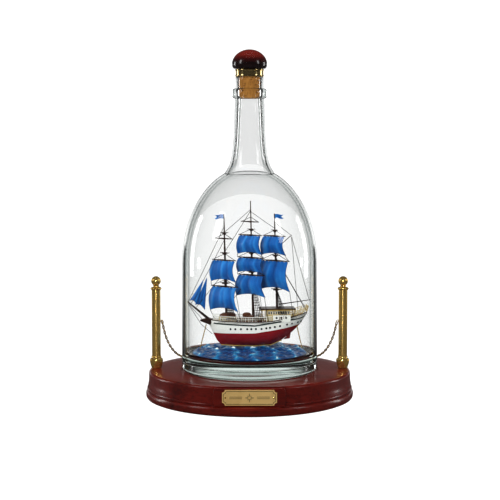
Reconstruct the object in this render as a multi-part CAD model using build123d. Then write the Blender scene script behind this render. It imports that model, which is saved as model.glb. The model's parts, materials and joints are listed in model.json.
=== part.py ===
from build123d import *
import os
from math import acos, cos, degrees, radians, sin, sqrt, tan

os.makedirs("parts", exist_ok=True)

# ---------------------------------------------------------------- driving dimensions, mm
FELT = 1.0                      # thickness of the felt under the plinth
PLINTH_TOP = 26.0               # height of the plinth's flat top above the table
LIP_R = 96.1                    # bead round the foot of the plinth
DRUM_R = 93.3                   # side of the plinth
RECESS_R = 63.3                 # shallow seat turned for the bottle
RECESS = 1.0                    # its depth

BOTTLE_R = 62.6                 # outside of the straight wall
BOTTLE_IN_R = 59.9              # inside of the straight wall
SHOULDER_Z = 125.0              # where the straight wall becomes the dome
DOME_RISE = 89.0                # half axis of the outer dome
DOME_IN_RISE = 86.6             # half axis of the inner dome
FLOOR_Z = 39.5                  # top of the thick glass bottom
CREASE_R = 23.0                 # where the dome meets the neck
CREASE_IN_R = 20.0
NECK_R = 13.6
MOUTH_Z = 295.8                 # top of the glass lip
BORE_R = 9.85                   # bore that the cork sits in

CORK_FIT = 0.05                 # radial room round the cork
CORK_LONG = 20.0
COLLAR_R = 13.0
COLLAR_H = 6.6
KNOB_R = 16.2
KNOB_H = 18.1

POST_X = 87.0
POST_Y = 6.0
SHAFT_R = 4.1
BALL_R = 4.5
BALL_Z = PLINTH_TOP + 81.5

PANEL_BACK = -88.3              # flat cut in the drum for the name panel
PANEL_FACE = -91.0
PLAQUE_W = 47.5
PLAQUE_H = 13.7
PLAQUE_T = 0.9
PLAQUE_Z = 16.9
CHAIN_D = 1.8                   # width of the chain over its links

SEA_R = 53.4
YAW = 5.0                       # the ship's heading, its stern turned away from the plaque side
BRACE = 40.0                    # yards turned this far from the ship's centreline
DECK_DROP = 1.6                 # deck surface under the top of the side
BULWARK = 0.8                   # thickness of the side above the deck
LINE_R = 0.14                   # rigging lines
CLOTH = 0.5                     # thickness allowed for a sail

made = {}


def keep(name, *shapes):
    """Store one node: a single solid, or several separate ones."""
    solids = [s for shape in shapes for s in shape.solids()]
    made[name] = solids[0] if len(solids) == 1 else Compound(children=solids)


def lathe(outline):
    """A solid turned about +Z from a closed outline of (radius, height) edges."""
    return revolve(Plane.XZ * make_face(outline), Axis.Z)


def turned(points):
    """A solid turned about +Z from straight runs between (radius, height) points."""
    return lathe(Polyline(*points, close=True).edges())


def frustum(start, end, r_start, r_end):
    """A round taper between two points."""
    a = Vector(*start)
    b = Vector(*end)
    long = (b - a).length
    if abs(r_start - r_end) < 1e-6:
        rod = Cylinder(r_start, long, align=(Align.CENTER, Align.CENTER, Align.MIN))
    else:
        rod = Cone(r_start, r_end, long, align=(Align.CENTER, Align.CENTER, Align.MIN))
    return Plane(origin=a, z_dir=b - a).location * rod


def ship(*shapes):
    """Turn parts made on the ship's own centreline to the heading that it lies on."""
    return [Rot(0, 0, YAW) * s for s in shapes]


def blend(table, x):
    """A value read from a table of (place, value) pairs, in a straight line between them."""
    for (x0, v0), (x1, v1) in zip(table, table[1:]):
        if x <= x1:
            t = min(max((x - x0) / (x1 - x0), 0), 1)
            return v0 + (v1 - v0) * t
    return table[-1][1]


# ---------------------------------------------------------------- the stand
def plinth():
    """Turned drum with a bead at its foot, a seat for the bottle and a flat for the panel."""
    edge = 2.4
    lip_top = 8.0
    side = [
        Line((0, FELT), (95.0, FELT)),
        ThreePointArc((95.0, FELT), (LIP_R, 4.6), (95.3, lip_top)),
        Line((95.3, lip_top), (94.2, 8.6)),
        Line((94.2, 8.6), (94.2, 9.4)),
        Line((94.2, 9.4), (94.8, 10.0)),
        ThreePointArc((94.8, 10.0), (93.6, 14.5), (DRUM_R, 19.5)),
        Line((DRUM_R, 19.5), (DRUM_R, PLINTH_TOP - edge)),
        ThreePointArc(
            (DRUM_R, PLINTH_TOP - edge),
            (DRUM_R - edge * (1 - cos(radians(45))), PLINTH_TOP - edge * (1 - sin(radians(45)))),
            (DRUM_R - edge, PLINTH_TOP),
        ),
        Polyline(
            (DRUM_R - edge, PLINTH_TOP),
            (RECESS_R, PLINTH_TOP),
            (RECESS_R, PLINTH_TOP - RECESS),
            (0, PLINTH_TOP - RECESS),
            (0, FELT),
        ),
    ]
    drum = lathe([e for part in side for e in part.edges()])
    flat = Pos(0, PANEL_BACK - 20, 8.6) * Box(66, 40, 30, align=(Align.CENTER, Align.CENTER, Align.MIN))
    drum -= flat
    for sx in (-1, 1):
        drum -= Pos(sx * POST_X, POST_Y, PLINTH_TOP - 10) * Cylinder(2.0, 20)
    return drum


def name_panel():
    """Flat block with bowed ends, planted on the flat of the drum."""
    low = 8.6
    high = 24.9
    end = 30.4
    bow = 31.6
    mid = (low + high) / 2
    outline = [
        Line((-end, low), (end, low)),
        ThreePointArc((end, low), (bow, mid), (end, high)),
        Line((end, high), (-end, high)),
        ThreePointArc((-end, high), (-bow, mid), (-end, low)),
    ]
    face = Plane.XZ * make_face([e for part in outline for e in part.edges()])
    block = Pos(0, PANEL_BACK, 0) * extrude(face, PANEL_BACK - PANEL_FACE)
    return fillet(block.faces().sort_by(Axis.Y)[0].edges(), 0.7)


def plaque():
    """Thin plate with a quarter circle bitten out of each corner."""
    plate = Box(PLAQUE_W, PLAQUE_T, PLAQUE_H)
    for sx in (-1, 1):
        for sz in (-1, 1):
            bite = Rot(90, 0, 0) * Cylinder(2.4, 4)
            plate -= Pos(sx * PLAQUE_W / 2, 0, sz * PLAQUE_H / 2) * bite
    return Pos(0, PANEL_FACE - PLAQUE_T / 2, PLAQUE_Z) * plate


def pins():
    """Two round-headed pins through the plaque."""
    pin = Rot(90, 0, 0) * Cylinder(0.75, 0.5, align=(Align.CENTER, Align.CENTER, Align.MIN))
    return [Pos(sx * 21.0, PANEL_FACE - PLAQUE_T, PLAQUE_Z) * pin for sx in (-1, 1)]


def post():
    """Turned post: a cup-shaped foot, a plain shaft, a ring, and a spigot in the plinth."""
    base = PLINTH_TOP
    ring = PLINTH_TOP + 74.6
    outline = [
        Polyline((0, base - 8), (1.95, base - 8), (1.95, base), (4.4, base)),
        ThreePointArc((4.4, base), (6.0, base + 4.5), (6.1, base + 8.0)),
        ThreePointArc((6.1, base + 8.0), (5.2, base + 9.4), (SHAFT_R, base + 10.6)),
        Polyline((SHAFT_R, base + 10.6), (SHAFT_R, ring - 1.0), (4.9, ring - 0.7)),
        ThreePointArc((4.9, ring - 0.7), (5.1, ring), (4.9, ring + 0.7)),
        Polyline((4.9, ring + 0.7), (2.6, ring + 1.4), (2.6, ring + 3.0), (0, ring + 3.0)),
        Line((0, ring + 3.0), (0, base - 8)),
    ]
    return lathe([e for part in outline for e in part.edges()])


def finial():
    """Ball screwed on the post's neck, cut flat underneath."""
    foot = PLINTH_TOP + 77.6
    return Pos(0, 0, BALL_Z) * Sphere(BALL_R) & Pos(0, 0, foot) * Cylinder(
        10, 20, align=(Align.CENTER, Align.CENTER, Align.MIN)
    )


def eye(side):
    """Wire ring standing out of a post, for the end link of the chain."""
    ring = Pos(side * 82.0, 9.3, 69.4) * Rot(0, 0, side * 35) * Rot(0, 90, 0) * Torus(1.25, 0.3)
    shank = frustum(
        (side * (POST_X - 3.4), POST_Y + 2.2, 69.4), (side * 82.7, 8.6, 69.4), 0.3, 0.3
    )
    return ring + shank


# The chain's route: it hangs from the left post, lies round the back of the bottle, and rises
# to the right post.
LIES = PLINTH_TOP + CHAIN_D / 2 + 0.05
CHAIN_ROUTE = [
    (-81.6, 10.3, 68.4),
    (-80.4, 13.6, 60.6),
    (-78.2, 18.4, 51.0),
    (-74.4, 25.4, 41.4),
    (-68.6, 34.2, 33.2),
    (-60.0, 44.6, 28.4),
    (-49.0, 55.2, LIES),
    (-35.2, 65.4, LIES),
    (-18.4, 71.4, LIES),
    (-1.0, 74.8, LIES),
    (16.6, 73.4, LIES),
    (33.4, 67.6, LIES),
    (48.0, 58.4, LIES),
    (59.2, 47.2, 28.0),
    (67.8, 36.2, 32.6),
    (74.0, 26.6, 41.0),
    (78.0, 19.0, 51.2),
    (80.3, 13.8, 60.8),
    (81.6, 10.3, 68.4),
]


def tube(route, diameter):
    """A round tube on straight runs joined by arcs that each fill most of the shorter run."""
    points = [Vector(*p) for p in route]
    radii = []
    for a, b, c in zip(points, points[1:], points[2:]):
        turn = radians((b - a).get_angle(c - b))
        radii.append(0.45 * min((b - a).length, (c - b).length) / tan(turn / 2))
    print("chain radii", [round(r, 1) for r in radii])
    path = FilletPolyline(*route, radius=radii)
    start = Plane(origin=path @ 0, z_dir=path % 0)
    solid = sweep(start * Circle(diameter / 2), path=path)
    print("chain length", round(path.length, 1), "volume share",
          round(solid.volume / (path.length * 3.14159 * diameter**2 / 4), 4))
    return solid


# ---------------------------------------------------------------- the bottle and its stopper
def dome_arc(radius, rise, end_r):
    """The dome's outline from the straight wall up to a radius: a quarter ellipse, cut short."""
    last = acos(end_r / radius)
    angles = [last * k / 5 for k in range(6)]
    points = [(radius * cos(a), SHOULDER_Z + rise * sin(a)) for a in angles]
    return Spline(*points, tangents=[(0, 1), (-radius * sin(last), rise * cos(last))])


def dome_height(radius, rise, r):
    return SHOULDER_Z + rise * sqrt(1 - (r / radius) ** 2)


def bottle_glass():
    """Blown bottle with a thick bottom, a tall dome, a flared neck, a string ring and a lip."""
    seat = PLINTH_TOP - RECESS
    heel = 5.1
    crease = (CREASE_R, dome_height(BOTTLE_R, DOME_RISE, CREASE_R))
    crease_in = (CREASE_IN_R, dome_height(BOTTLE_IN_R, DOME_IN_RISE, CREASE_IN_R))
    corner = 6.0
    wall = [
        ThreePointArc((0, seat + 2.6), (28, seat + 1.9), (54, seat)),
        Line((54, seat), (BOTTLE_R - heel, seat)),
        CenterArc((BOTTLE_R - heel, seat + heel), heel, -90, 90),
        Line((BOTTLE_R, seat + heel), (BOTTLE_R, SHOULDER_Z)),
        dome_arc(BOTTLE_R, DOME_RISE, CREASE_R),
        Spline(crease, (18.7, 214.4), (16.3, 223.6), (14.8, 238.0), (14.0, 257.0), (NECK_R, 275.9)),
        ThreePointArc((NECK_R, 275.9), (16.3, 280.4), (12.8, 284.9)),
        Line((12.8, 284.9), (12.8, MOUTH_Z - 1)),
        ThreePointArc((12.8, MOUTH_Z - 1), (12.5, MOUTH_Z - 0.3), (11.8, MOUTH_Z)),
        Line((11.8, MOUTH_Z), (10.6, MOUTH_Z)),
        ThreePointArc((10.6, MOUTH_Z), (10.07, MOUTH_Z - 0.22), (BORE_R, MOUTH_Z - 0.75)),
        Line((BORE_R, MOUTH_Z - 0.75), (BORE_R, 272)),
        Spline((BORE_R, 272), (10.4, 263), (11.0, 250), (11.8, 236), (13.4, 222.5), (16.2, 213.4), crease_in),
        dome_arc(BOTTLE_IN_R, DOME_IN_RISE, CREASE_IN_R),
        Line((BOTTLE_IN_R, SHOULDER_Z), (BOTTLE_IN_R, FLOOR_Z + corner)),
        CenterArc((BOTTLE_IN_R - corner, FLOOR_Z + corner), corner, -90, 90),
        Line((BOTTLE_IN_R - corner, FLOOR_Z), (0, FLOOR_Z)),
        Line((0, FLOOR_Z), (0, seat + 2.6)),
    ]
    return lathe([e for part in wall for e in part.edges()])


def cork():
    """Slightly tapered cork with a bevelled end."""
    top = MOUTH_Z
    low = top - CORK_LONG
    r = BORE_R - CORK_FIT
    return turned([(0, low), (8.5, low), (9.2, low + 0.8), (r, top - 8), (r, top), (0, top)])


def stopper_collar():
    """Brass ferrule between cork and knob, with a thin bead at its top."""
    low = MOUTH_Z
    bead = low + COLLAR_H - 1.2
    return turned([
        (0, low), (COLLAR_R - 0.3, low), (COLLAR_R, low + 0.3), (COLLAR_R, bead),
        (COLLAR_R + 0.35, bead + 0.3), (COLLAR_R + 0.35, low + COLLAR_H - 0.3),
        (COLLAR_R, low + COLLAR_H), (0, low + COLLAR_H),
    ])


def stopper_knob():
    """Domed wooden knob, tucked in under its widest line."""
    low = MOUTH_Z + COLLAR_H
    wide = low + 4.1
    top = low + KNOB_H
    outline = [
        Line((0, low), (13.6, low)),
        ThreePointArc((13.6, low), (15.6, low + 1.7), (KNOB_R, wide)),
        Spline((KNOB_R, wide), (KNOB_R * sqrt(0.5), wide + (top - wide) * sqrt(0.5)), (0, top),
               tangents=[(0, 1), (-1, 0)]),
        Line((0, top), (0, low)),
    ]
    return lathe([e for part in outline for e in part.edges()])


# ---------------------------------------------------------------- the ship, on its centreline
UP = PLINTH_TOP
KEEL = [(-39.6, 46.4), (-33.9, 34.8), (-30.2, 27.4), (-26.6, 23.6), (-15, 22.6), (5, 21.9),
        (20, 22.8), (30, 27.0), (38, 33.0), (44, 38.4), (48, 42.6), (53, 50.4)]
SHEER = [(-39.6, 47.6), (-30, 46.6), (-10, 45.5), (10, 45.2), (20, 46.0), (36, 48.6),
         (46, 51.4), (53, 53.8)]
BEAM = [(-39.6, 0.9), (-36, 3.4), (-30, 6.6), (-22, 9.0), (-8, 10.8), (8, 11.0), (24, 10.6),
        (36, 9.6), (46, 8.2), (53, 7.0)]
FULL = [(-39.6, 1.5), (-22, 3.2), (0, 5.2), (18, 4.6), (34, 2.4), (53, 1.8)]
STATIONS = [-39.6, -36.5, -33, -29, -24, -16, -6, 6, 18, 28, 37, 45, 53]
WATERLINE = [(-45, 34.8), (4, 34.8), (32, 39.0), (60, 44.6)]
WALE = [(-45, 44.9), (-32.7, 44.0), (4, 41.8), (44.6, 47.8), (60, 52.0)]
PORTS = [-18.3, -13.9, -8.9, -3.1, 0.6, 4.9, 10.0, 14.5, 17.9, 22.4, 27.2, 33.7, 38.4, 44.1, 47.3]
HOUSE_PORTS = [24.0, 28.4, 32.8]


def half_breadth(x, s, extra=0.0):
    """Half width of the hull at a station, at a share s of the way from keel to sheer."""
    return 0.35 + (blend(BEAM, x) - 0.35) * (1 - (1 - s) ** blend(FULL, x)) + extra


def station(x, extra=0.0):
    """One closed cross-section of the hull."""
    low = blend(KEEL, x)
    high = blend(SHEER, x)
    shares = (0.0, 0.12, 0.3, 0.55, 0.8, 1.0)
    port = [(x, -half_breadth(x, s, extra), UP + low + (high - low) * s - extra * (s == 0)) for s in shares]
    star = [(px, -py, pz) for px, py, pz in port]
    left = Spline(*port)
    right = Spline(*star)
    return make_face([left, right, Line(port[0], star[0]), Line(port[-1], star[-1])])


def hull_form(extra=0.0):
    """The whole outside of the hull, a little fatter by extra."""
    return loft([station(x, extra) for x in STATIONS], ruled=True)


def strip(table, above, below):
    """A slab that follows a line drawn along the ship, for cutting the hull along it."""
    top = [(x, UP + z + above) for x, z in table]
    low = [(x, UP + z - below) for x, z in reversed(table)]
    return extrude(make_face(Plane.XZ * Polyline(*top, *low, close=True)), 20, both=True)


def deck_form(low, high):
    """The room inside the bulwarks between two depths under the sheer."""
    sections = []
    for x in STATIONS[2:-1]:
        b = blend(BEAM, x) - BULWARK
        z = UP + blend(SHEER, x)
        sections.append(make_face(Polyline((x, -b, z - low), (x, b, z - low), (x, b, z + high),
                                           (x, -b, z + high), close=True)))
    return loft(sections, ruled=True)


def mast_point(base_x, top_x, top_z, z):
    """A point on a raked mast at a height above the plinth."""
    foot = 40.0
    t = (z - foot) / (top_z - foot)
    return (base_x + (top_x - base_x) * t, 0.0, UP + z)


# Each mast: foot, head and the heights of its platforms, all above the plinth.
MASTS = {
    "fore": dict(base=-21.3, head=-23.7, top=144.2, tops=(80.4, 108.0, 126.5)),
    "main": dict(base=3.6, head=0.8, top=156.0, tops=(90.6, 108.0, 129.6)),
    "mizzen": dict(base=26.2, head=23.0, top=144.2, tops=(74.0, 105.6, 128.6)),
}
# Each yard: mast, height at the middle, half length.
YARDS = {
    "fore_lower_yard": ("fore", 77.6, 15.6),
    "fore_upper_yard": ("fore", 101.9, 13.8),
    "fore_bare_yard": ("fore", 121.7, 10.4),
    "main_lower_yard": ("main", 88.0, 15.4),
    "main_middle_yard": ("main", 104.0, 15.2),
    "main_upper_yard": ("main", 124.7, 13.2),
    "main_bare_yard": ("main", 137.0, 10.0),
    "mizzen_lower_yard": ("mizzen", 101.1, 16.4),
    "mizzen_upper_yard": ("mizzen", 123.8, 12.6),
}
# Each square sail: yard, height of its foot, half width at the head, half width at the foot.
SAILS = {
    "fore_lower_sail": ("fore_lower_yard", 55.0, 13.6, 15.6),
    "fore_upper_sail": ("fore_upper_yard", 82.0, 12.4, 13.8),
    "main_lower_sail": ("main_lower_yard", 68.0, 13.8, 15.8),
    "main_middle_sail": ("main_middle_yard", 90.0, 13.2, 14.2),
    "main_upper_sail": ("main_upper_yard", 107.0, 11.6, 13.4),
    "mizzen_lower_sail": ("mizzen_lower_yard", 73.0, 14.8, 17.0),
    "mizzen_upper_sail": ("mizzen_upper_yard", 106.0, 11.4, 13.0),
}


def mast(spec):
    """Three spars stepped one on another, each thinner than the one below."""
    def at(z):
        return mast_point(spec["base"], spec["head"], spec["top"], z)
    low, mid, _ = spec["tops"]
    deck = 42.5
    return (frustum(at(deck), at(low + 4), 1.15, 0.95)
            + frustum(at(low + 2), at(mid + 6), 0.8, 0.65)
            + frustum(at(mid + 4), at(spec["top"]), 0.6, 0.3))


def mast_tops():
    """The platforms round the masts, wide at the lower mast and narrow above."""
    plates = []
    for spec in MASTS.values():
        for z, (long, wide) in zip(spec["tops"], ((5.0, 7.0), (3.8, 6.0), (3.0, 5.0))):
            x, y, h = mast_point(spec["base"], spec["head"], spec["top"], z)
            plates.append(Pos(x, y, h) * Rot(0, 0, -BRACE / 2) * Box(long, wide, 0.8))
    return plates


def across(mast_name, z, along, ahead, lift=0.0):
    """A point at a mast, measured along its yards, ahead of it and up."""
    spec = MASTS[mast_name]
    x, y, h = mast_point(spec["base"], spec["head"], spec["top"], z)
    c = cos(radians(BRACE))
    s = sin(radians(BRACE))
    return (x + along * c - ahead * s, y - along * s - ahead * c, h + lift)


YARD_AHEAD = 1.75


def yard(mast_name, z, half):
    """A spar thickest in the middle, carried just ahead of its mast."""
    mid = across(mast_name, z, 0, YARD_AHEAD)
    thick = 0.32 + half * 0.018
    return (frustum(mid, across(mast_name, z, half, YARD_AHEAD), thick, 0.24)
            + frustum(mid, across(mast_name, z, -half, YARD_AHEAD), thick, 0.24))


def square_sail(yard_name, foot, head_half, foot_half):
    """A cloth panel hung from a yard and bellied forward."""
    mast_name, z, _ = YARDS[yard_name]
    head = z - 0.8
    drop = head - foot
    belly = drop * 0.2
    outer = ThreePointArc((0, 0), (belly, -drop * 0.55), (belly * 0.2, -drop))
    inner = ThreePointArc((-CLOTH, 0), (belly - CLOTH, -drop * 0.55), (belly * 0.2 - CLOTH, -drop))
    profile = make_face([outer, Line(outer @ 1, inner @ 1), inner, Line(inner @ 0, outer @ 0)])
    half = (head_half + foot_half) / 2
    ox, oy, oz = across(mast_name, head, 0, YARD_AHEAD + 0.9)
    c = cos(radians(BRACE))
    s = sin(radians(BRACE))
    hung = Plane(origin=(ox, oy, oz), x_dir=(-s, -c, 0), z_dir=(-c, s, 0))
    return extrude(hung * profile, half, both=True)


def triangle_sail(corners, y):
    """A three-cornered cloth panel in a fore-and-aft plane."""
    pts = [(x, UP + z) for x, z in corners]
    face = make_face(Plane.XZ * Polyline(*pts, close=True))
    return Pos(0, y, 0) * extrude(face, CLOTH / 2, both=True)


def pennant(mast_name, direction):
    """A swallow-tailed flag at a masthead."""
    spec = MASTS[mast_name]
    x, _, z = mast_point(spec["base"], spec["head"], spec["top"], spec["top"] - 2.6)
    long = 8.6 * direction
    near = 0.4 * direction
    pts = [(near, 2.0), (long, 2.2), (long * 0.72, 0.0), (long, -2.0), (near, -2.0)]
    face = make_face(Plane.XZ * Polyline(*pts, close=True))
    return Pos(x, 0, z) * extrude(face, 0.2, both=True)


def rod(start, end, r=LINE_R):
    return frustum((start[0], start[1], UP + start[2]), (end[0], end[1], UP + end[2]), r, r)


def stays():
    """Lines along the ship that hold the masts, from bowsprit to boom."""
    tip = (-57.0, 0, 63.2)
    lines = [
        (tip, (-23.3, 0.7, 133.0)), ((-54.5, 0.3, 61.0), (-22.9, 0.9, 121.0)),
        ((-50.0, 0.2, 57.4), (-22.4, 1.0, 92.0)),
        ((0.9, 0.9, 148.0), (-22.6, 1.0, 127.8)), ((0.9, -0.9, 147.0), (-22.6, -1.0, 110.0)),
        ((1.3, 0.9, 146.0), (22.9, 0.9, 131.0)), ((2.6, 1.2, 89.0), (-20.6, 1.5, 58.0)),
        ((23.6, 0.9, 136.0), (39.0, 0.6, 124.0)),
        ((39.2, 0.6, 123.0), (56.2, 0.4, 64.0)), ((39.0, 0, 123.0), (44.6, -5.0, 56.0)),
        ((24.3, -1.0, 104.0), (52.6, -5.0, 55.6)), ((24.3, 1.0, 104.0), (52.6, 5.0, 55.6)),
        ((-56.6, 0, 61.6), (-45.6, 0, 43.6)), ((-45.6, 0, 43.2), (-34.6, 0.0, 33.4)),
        ((-55.6, 0.8, 60.8), (-40.4, 1.6, 43.0)),
    ]
    return [rod(a, b) for a, b in lines]


def shrouds():
    """Lines from each lower mast down to both sides of the hull, and on up its topmast."""
    lines = []
    for name, spec in MASTS.items():
        low, mid, high = spec["tops"]
        for side in (-1, 1):
            for k in range(4):
                foot_x = spec["base"] + 1.0 + 2.2 * k
                foot_y = side * (blend(BEAM, foot_x) + 0.35)
                head = mast_point(spec["base"], spec["head"], spec["top"], low)
                lines.append(((foot_x, foot_y, blend(SHEER, foot_x) + 0.4),
                              (head[0] + 0.3 * k - 0.5, side * (1.5 + 0.1 * k), low - 0.8)))
            for k in range(2):
                step = mast_point(spec["base"], spec["head"], spec["top"], mid)
                head = mast_point(spec["base"], spec["head"], spec["top"], low)
                lines.append(((head[0] + 1.4 * k - 0.4, side * 3.2, low + 0.6),
                              (step[0] + 0.4 * k, side * 1.0, mid - 0.6)))
    return [rod(a, b, 0.11) for a, b in lines]


def rails():
    """Stanchions and two rails along both sides of the open deck."""
    solids = []
    first = -34.0
    last = 19.5
    count = 17
    for side in (-1, 1):
        line = []
        for k in range(count):
            x = first + (last - first) * k / (count - 1)
            y = side * (blend(BEAM, x) - BULWARK / 2)
            z = blend(SHEER, x)
            line.append((x, y, z))
        group = None
        for (ax, ay, az), (bx, by, bz) in zip(line, line[1:]):
            for lift in (2.2, 4.2):
                bar = rod((ax, ay, az + lift), (bx, by, bz + lift), 0.24)
                group = bar if group is None else group + bar
        for x, y, z in line:
            group += rod((x, y, z - 0.2), (x, y, z + 4.4), 0.26)
        solids.append(group)
    return solids


def stern_gallery():
    """Raised rail round the poop, with stanchions."""
    corners = [(37.0, -9.2), (46.0, -8.0), (53.0, -6.6), (53.0, 6.6), (46.0, 8.0), (37.0, 9.2)]
    base = {x: blend(SHEER, x) for x, _ in corners}
    group = None
    for (ax, ay), (bx, by) in zip(corners, corners[1:]):
        for lift in (1.6, 3.4, 5.2):
            bar = rod((ax + lift * 0.3, ay, base[ax] + lift), (bx + lift * 0.3, by, base[bx] + lift), 0.26)
            group = bar if group is None else group + bar
        for t in (0.0, 0.25, 0.5, 0.75, 1.0):
            x = ax + (bx - ax) * t
            y = ay + (by - ay) * t
            z = blend(SHEER, x)
            group += rod((x, y, z - 0.3), (x + 1.6, y, z + 5.4), 0.24)
    return group


def beakhead():
    """Wedge under the bowsprit that carries the head rails."""
    pts = [(-46.0, 45.6), (-45.2, 47.0), (-38.6, 48.4), (-34.0, 47.4), (-36.6, 42.2)]
    face = make_face(Plane.XZ * Polyline(*[(x, UP + z) for x, z in pts], close=True))
    wedge = extrude(face, 3.4, both=True)
    cut = make_face(Polyline((-47, -0.5), (-33, -4.6), (-33, 4.6), (-47, 0.5), close=True))
    return wedge & (Pos(0, 0, UP + 38) * extrude(cut, 14))


def rudder():
    pts = [(31.6, 27.4), (37.6, 28.4), (38.6, 34.4), (36.4, 33.2), (34.2, 29.8)]
    face = make_face(Plane.XZ * Polyline(*[(x, UP + z) for x, z in pts], close=True))
    return extrude(face, 0.5, both=True)


def keel():
    """Band along the bottom of the hull, gilded where it shows aft."""
    top = [(x, UP + z + 0.5) for x, z in KEEL if -27 < x < 31]
    low = [(x, z - 1.2) for x, z in reversed(top)]
    face = make_face(Plane.XZ * Polyline(*top, *low, close=True))
    return extrude(face, 0.45, both=True)


def bar_box(x0, x1, half_y, z0, z1):
    """A block on the deck given by its ends, half width and heights above the plinth."""
    return Pos((x0 + x1) / 2, 0, UP + (z0 + z1) / 2) * Box(x1 - x0, 2 * half_y, z1 - z0)


def deck_boats():
    """Upturned boats carried on the fore deckhouse."""
    boats = []
    for x, y, long in ((-20.6, -2.4, 15.0), (-19.6, 2.4, 14.0), (-2.6, 0.0, 8.0)):
        shell = Pos(x, y, UP + 49.6) * scale(Sphere(1.0), by=(long / 2, 2.2, 3.4))
        boats.append(shell & bar_box(x - 20, x + 20, 10, 49.6, 56))
    return boats


def sea():
    """Resin disc, highest in the middle where the hull lies in it."""
    outline = [
        Line((0, FLOOR_Z), (SEA_R - 1.5, FLOOR_Z)),
        ThreePointArc((SEA_R - 1.5, FLOOR_Z), (SEA_R, FLOOR_Z + 2.0), (SEA_R - 1.0, FLOOR_Z + 4.2)),
        Spline((SEA_R - 1.0, FLOOR_Z + 4.2), (40, FLOOR_Z + 6.4), (22, FLOOR_Z + 7.8), (0, FLOOR_Z + 8.6)),
        Line((0, FLOOR_Z + 8.6), (0, FLOOR_Z)),
    ]
    return lathe([e for part in outline for e in part.edges()])


# ---------------------------------------------------------------- the nodes
keep("base_felt", Cylinder(92.5, FELT, align=(Align.CENTER, Align.CENTER, Align.MIN)))
keep("plinth", plinth())
keep("name_panel", name_panel())
keep("plaque", plaque())
keep("plaque_pins", *pins())
for side_name, sx in (("left", -1), ("right", 1)):
    keep(side_name + "_post", Pos(sx * POST_X, POST_Y, 0) * post())
    keep(side_name + "_finial", Pos(sx * POST_X, POST_Y, 0) * finial())
keep("chain_eyes", eye(-1), eye(1))
keep("chain", tube(CHAIN_ROUTE, CHAIN_D))

keep("bottle_glass", bottle_glass())
keep("cork", cork())
keep("stopper_collar", stopper_collar())
keep("stopper_knob", stopper_knob())
keep("sea", sea())

form = hull_form()
wet = strip(WATERLINE, 0, 40)
keep("hull_bottom", *ship(form & wet))
side_planks = form - wet - deck_form(DECK_DROP, 3)
keep("topsides", *ship(side_planks))
keep("deck", *ship(deck_form(DECK_DROP, -DECK_DROP + 0.5)))
wale_band = strip(WALE, 0.45, 0.45)
keep("wales", *ship((hull_form(0.3) & wale_band) - form))
port_skin = hull_form(0.15)
holes = [
    Pos(x, 0, UP + blend([(-20, 38.9), (10, 38.9), (22, 40.4), (48, 45.2)], x))
    * Rot(90, 0, 0) * Cylinder(0.62, 40)
    for x in PORTS
]
port_discs = []
for hole in holes:
    port_discs += ((port_skin & hole) - form).solids()
for x in HOUSE_PORTS:
    for sy in (-1, 1):
        port_discs.append(Pos(x, sy * 10.75, UP + 48.9) * Rot(90, 0, 0) * Cylinder(0.62, 0.5))
keep("portholes", *ship(*port_discs))
quarter = bar_box(20.7, 37.0, 10.5, 45.0, 51.3) - bar_box(18, 40, 9.7, 40, 60)
keep("quarter_boards", *ship(quarter - form))
keep("keel", *ship(keel() - form))
keep("rudder", *ship(rudder() - form))
keep("beakhead", *ship(beakhead() - form))
keep("bowsprit", *ship(frustum((-37.0, 0, UP + 46.6), (-57.4, 0, UP + 63.6), 1.15, 0.4)))
keep("deck_rails", *ship(*rails()))
keep("stern_gallery", *ship(stern_gallery()))
keep("fore_house", *ship(bar_box(-28.5, -12.5, 5.4, 44.2, 49.6)))
keep("deck_boats", *ship(*deck_boats()))
keep("aft_house", *ship(bar_box(15.4, 37.0, 7.2, 45.0, 55.6)))
keep("house_roof", *ship(bar_box(9.4, 42.0, 8.6, 55.6, 57.2)))

for mast_name, spec in MASTS.items():
    keep(mast_name + "_mast", *ship(mast(spec)))
keep("mast_tops", *ship(*mast_tops()))
for yard_name, (mast_name, z, half) in YARDS.items():
    keep(yard_name, *ship(yard(mast_name, z, half)))
keep("gaff", *ship(frustum((24.6, 0, UP + 112.0), (39.2, 0, UP + 124.4), 0.5, 0.28)))
keep("boom", *ship(frustum((27.4, 0, UP + 60.2), (57.2, 0, UP + 64.2), 0.55, 0.3)))
for sail_name, (yard_name, foot, head_half, foot_half) in SAILS.items():
    keep(sail_name, *ship(square_sail(yard_name, foot, head_half, foot_half)))
keep("outer_jib", *ship(triangle_sail([(-42.6, 84.0), (-55.6, 64.4), (-48.8, 60.6)], -0.6)))
keep("inner_jib", *ship(triangle_sail([(-39.4, 86.0), (-50.4, 60.6), (-41.4, 55.8)], 0.8)))
keep("pennants", *ship(pennant("fore", -1), pennant("mizzen", 1)))
keep("stays", *ship(*stays()))
keep("shrouds", *ship(*shrouds()))
keep("anchor_lines", *ship(rod((-40.2, 0.6, 42.0), (-46.4, -4.0, 19.0), 0.3),
                           rod((43.7, -4.2, 40.5), (47.8, -9.0, 20.4), 0.3)))

print(len(made), "nodes")
for name, shape in made.items():
    export_step(shape, "parts/" + name + ".step")
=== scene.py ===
# %% [markdown]
# # A ship in a bottle, one piece at a time
# A tall stoppered decanter stands in a shallow seat on a turned mahogany plinth. Two brass posts
# carry a chain round the back of it, and inside it a square-rigged ship under blue sail lies on a
# painted resin sea. The CAD frame says where every part is. This file gives each part its look.

# %% Load the frame
import json
from math import cos, pi, radians, sin

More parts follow.
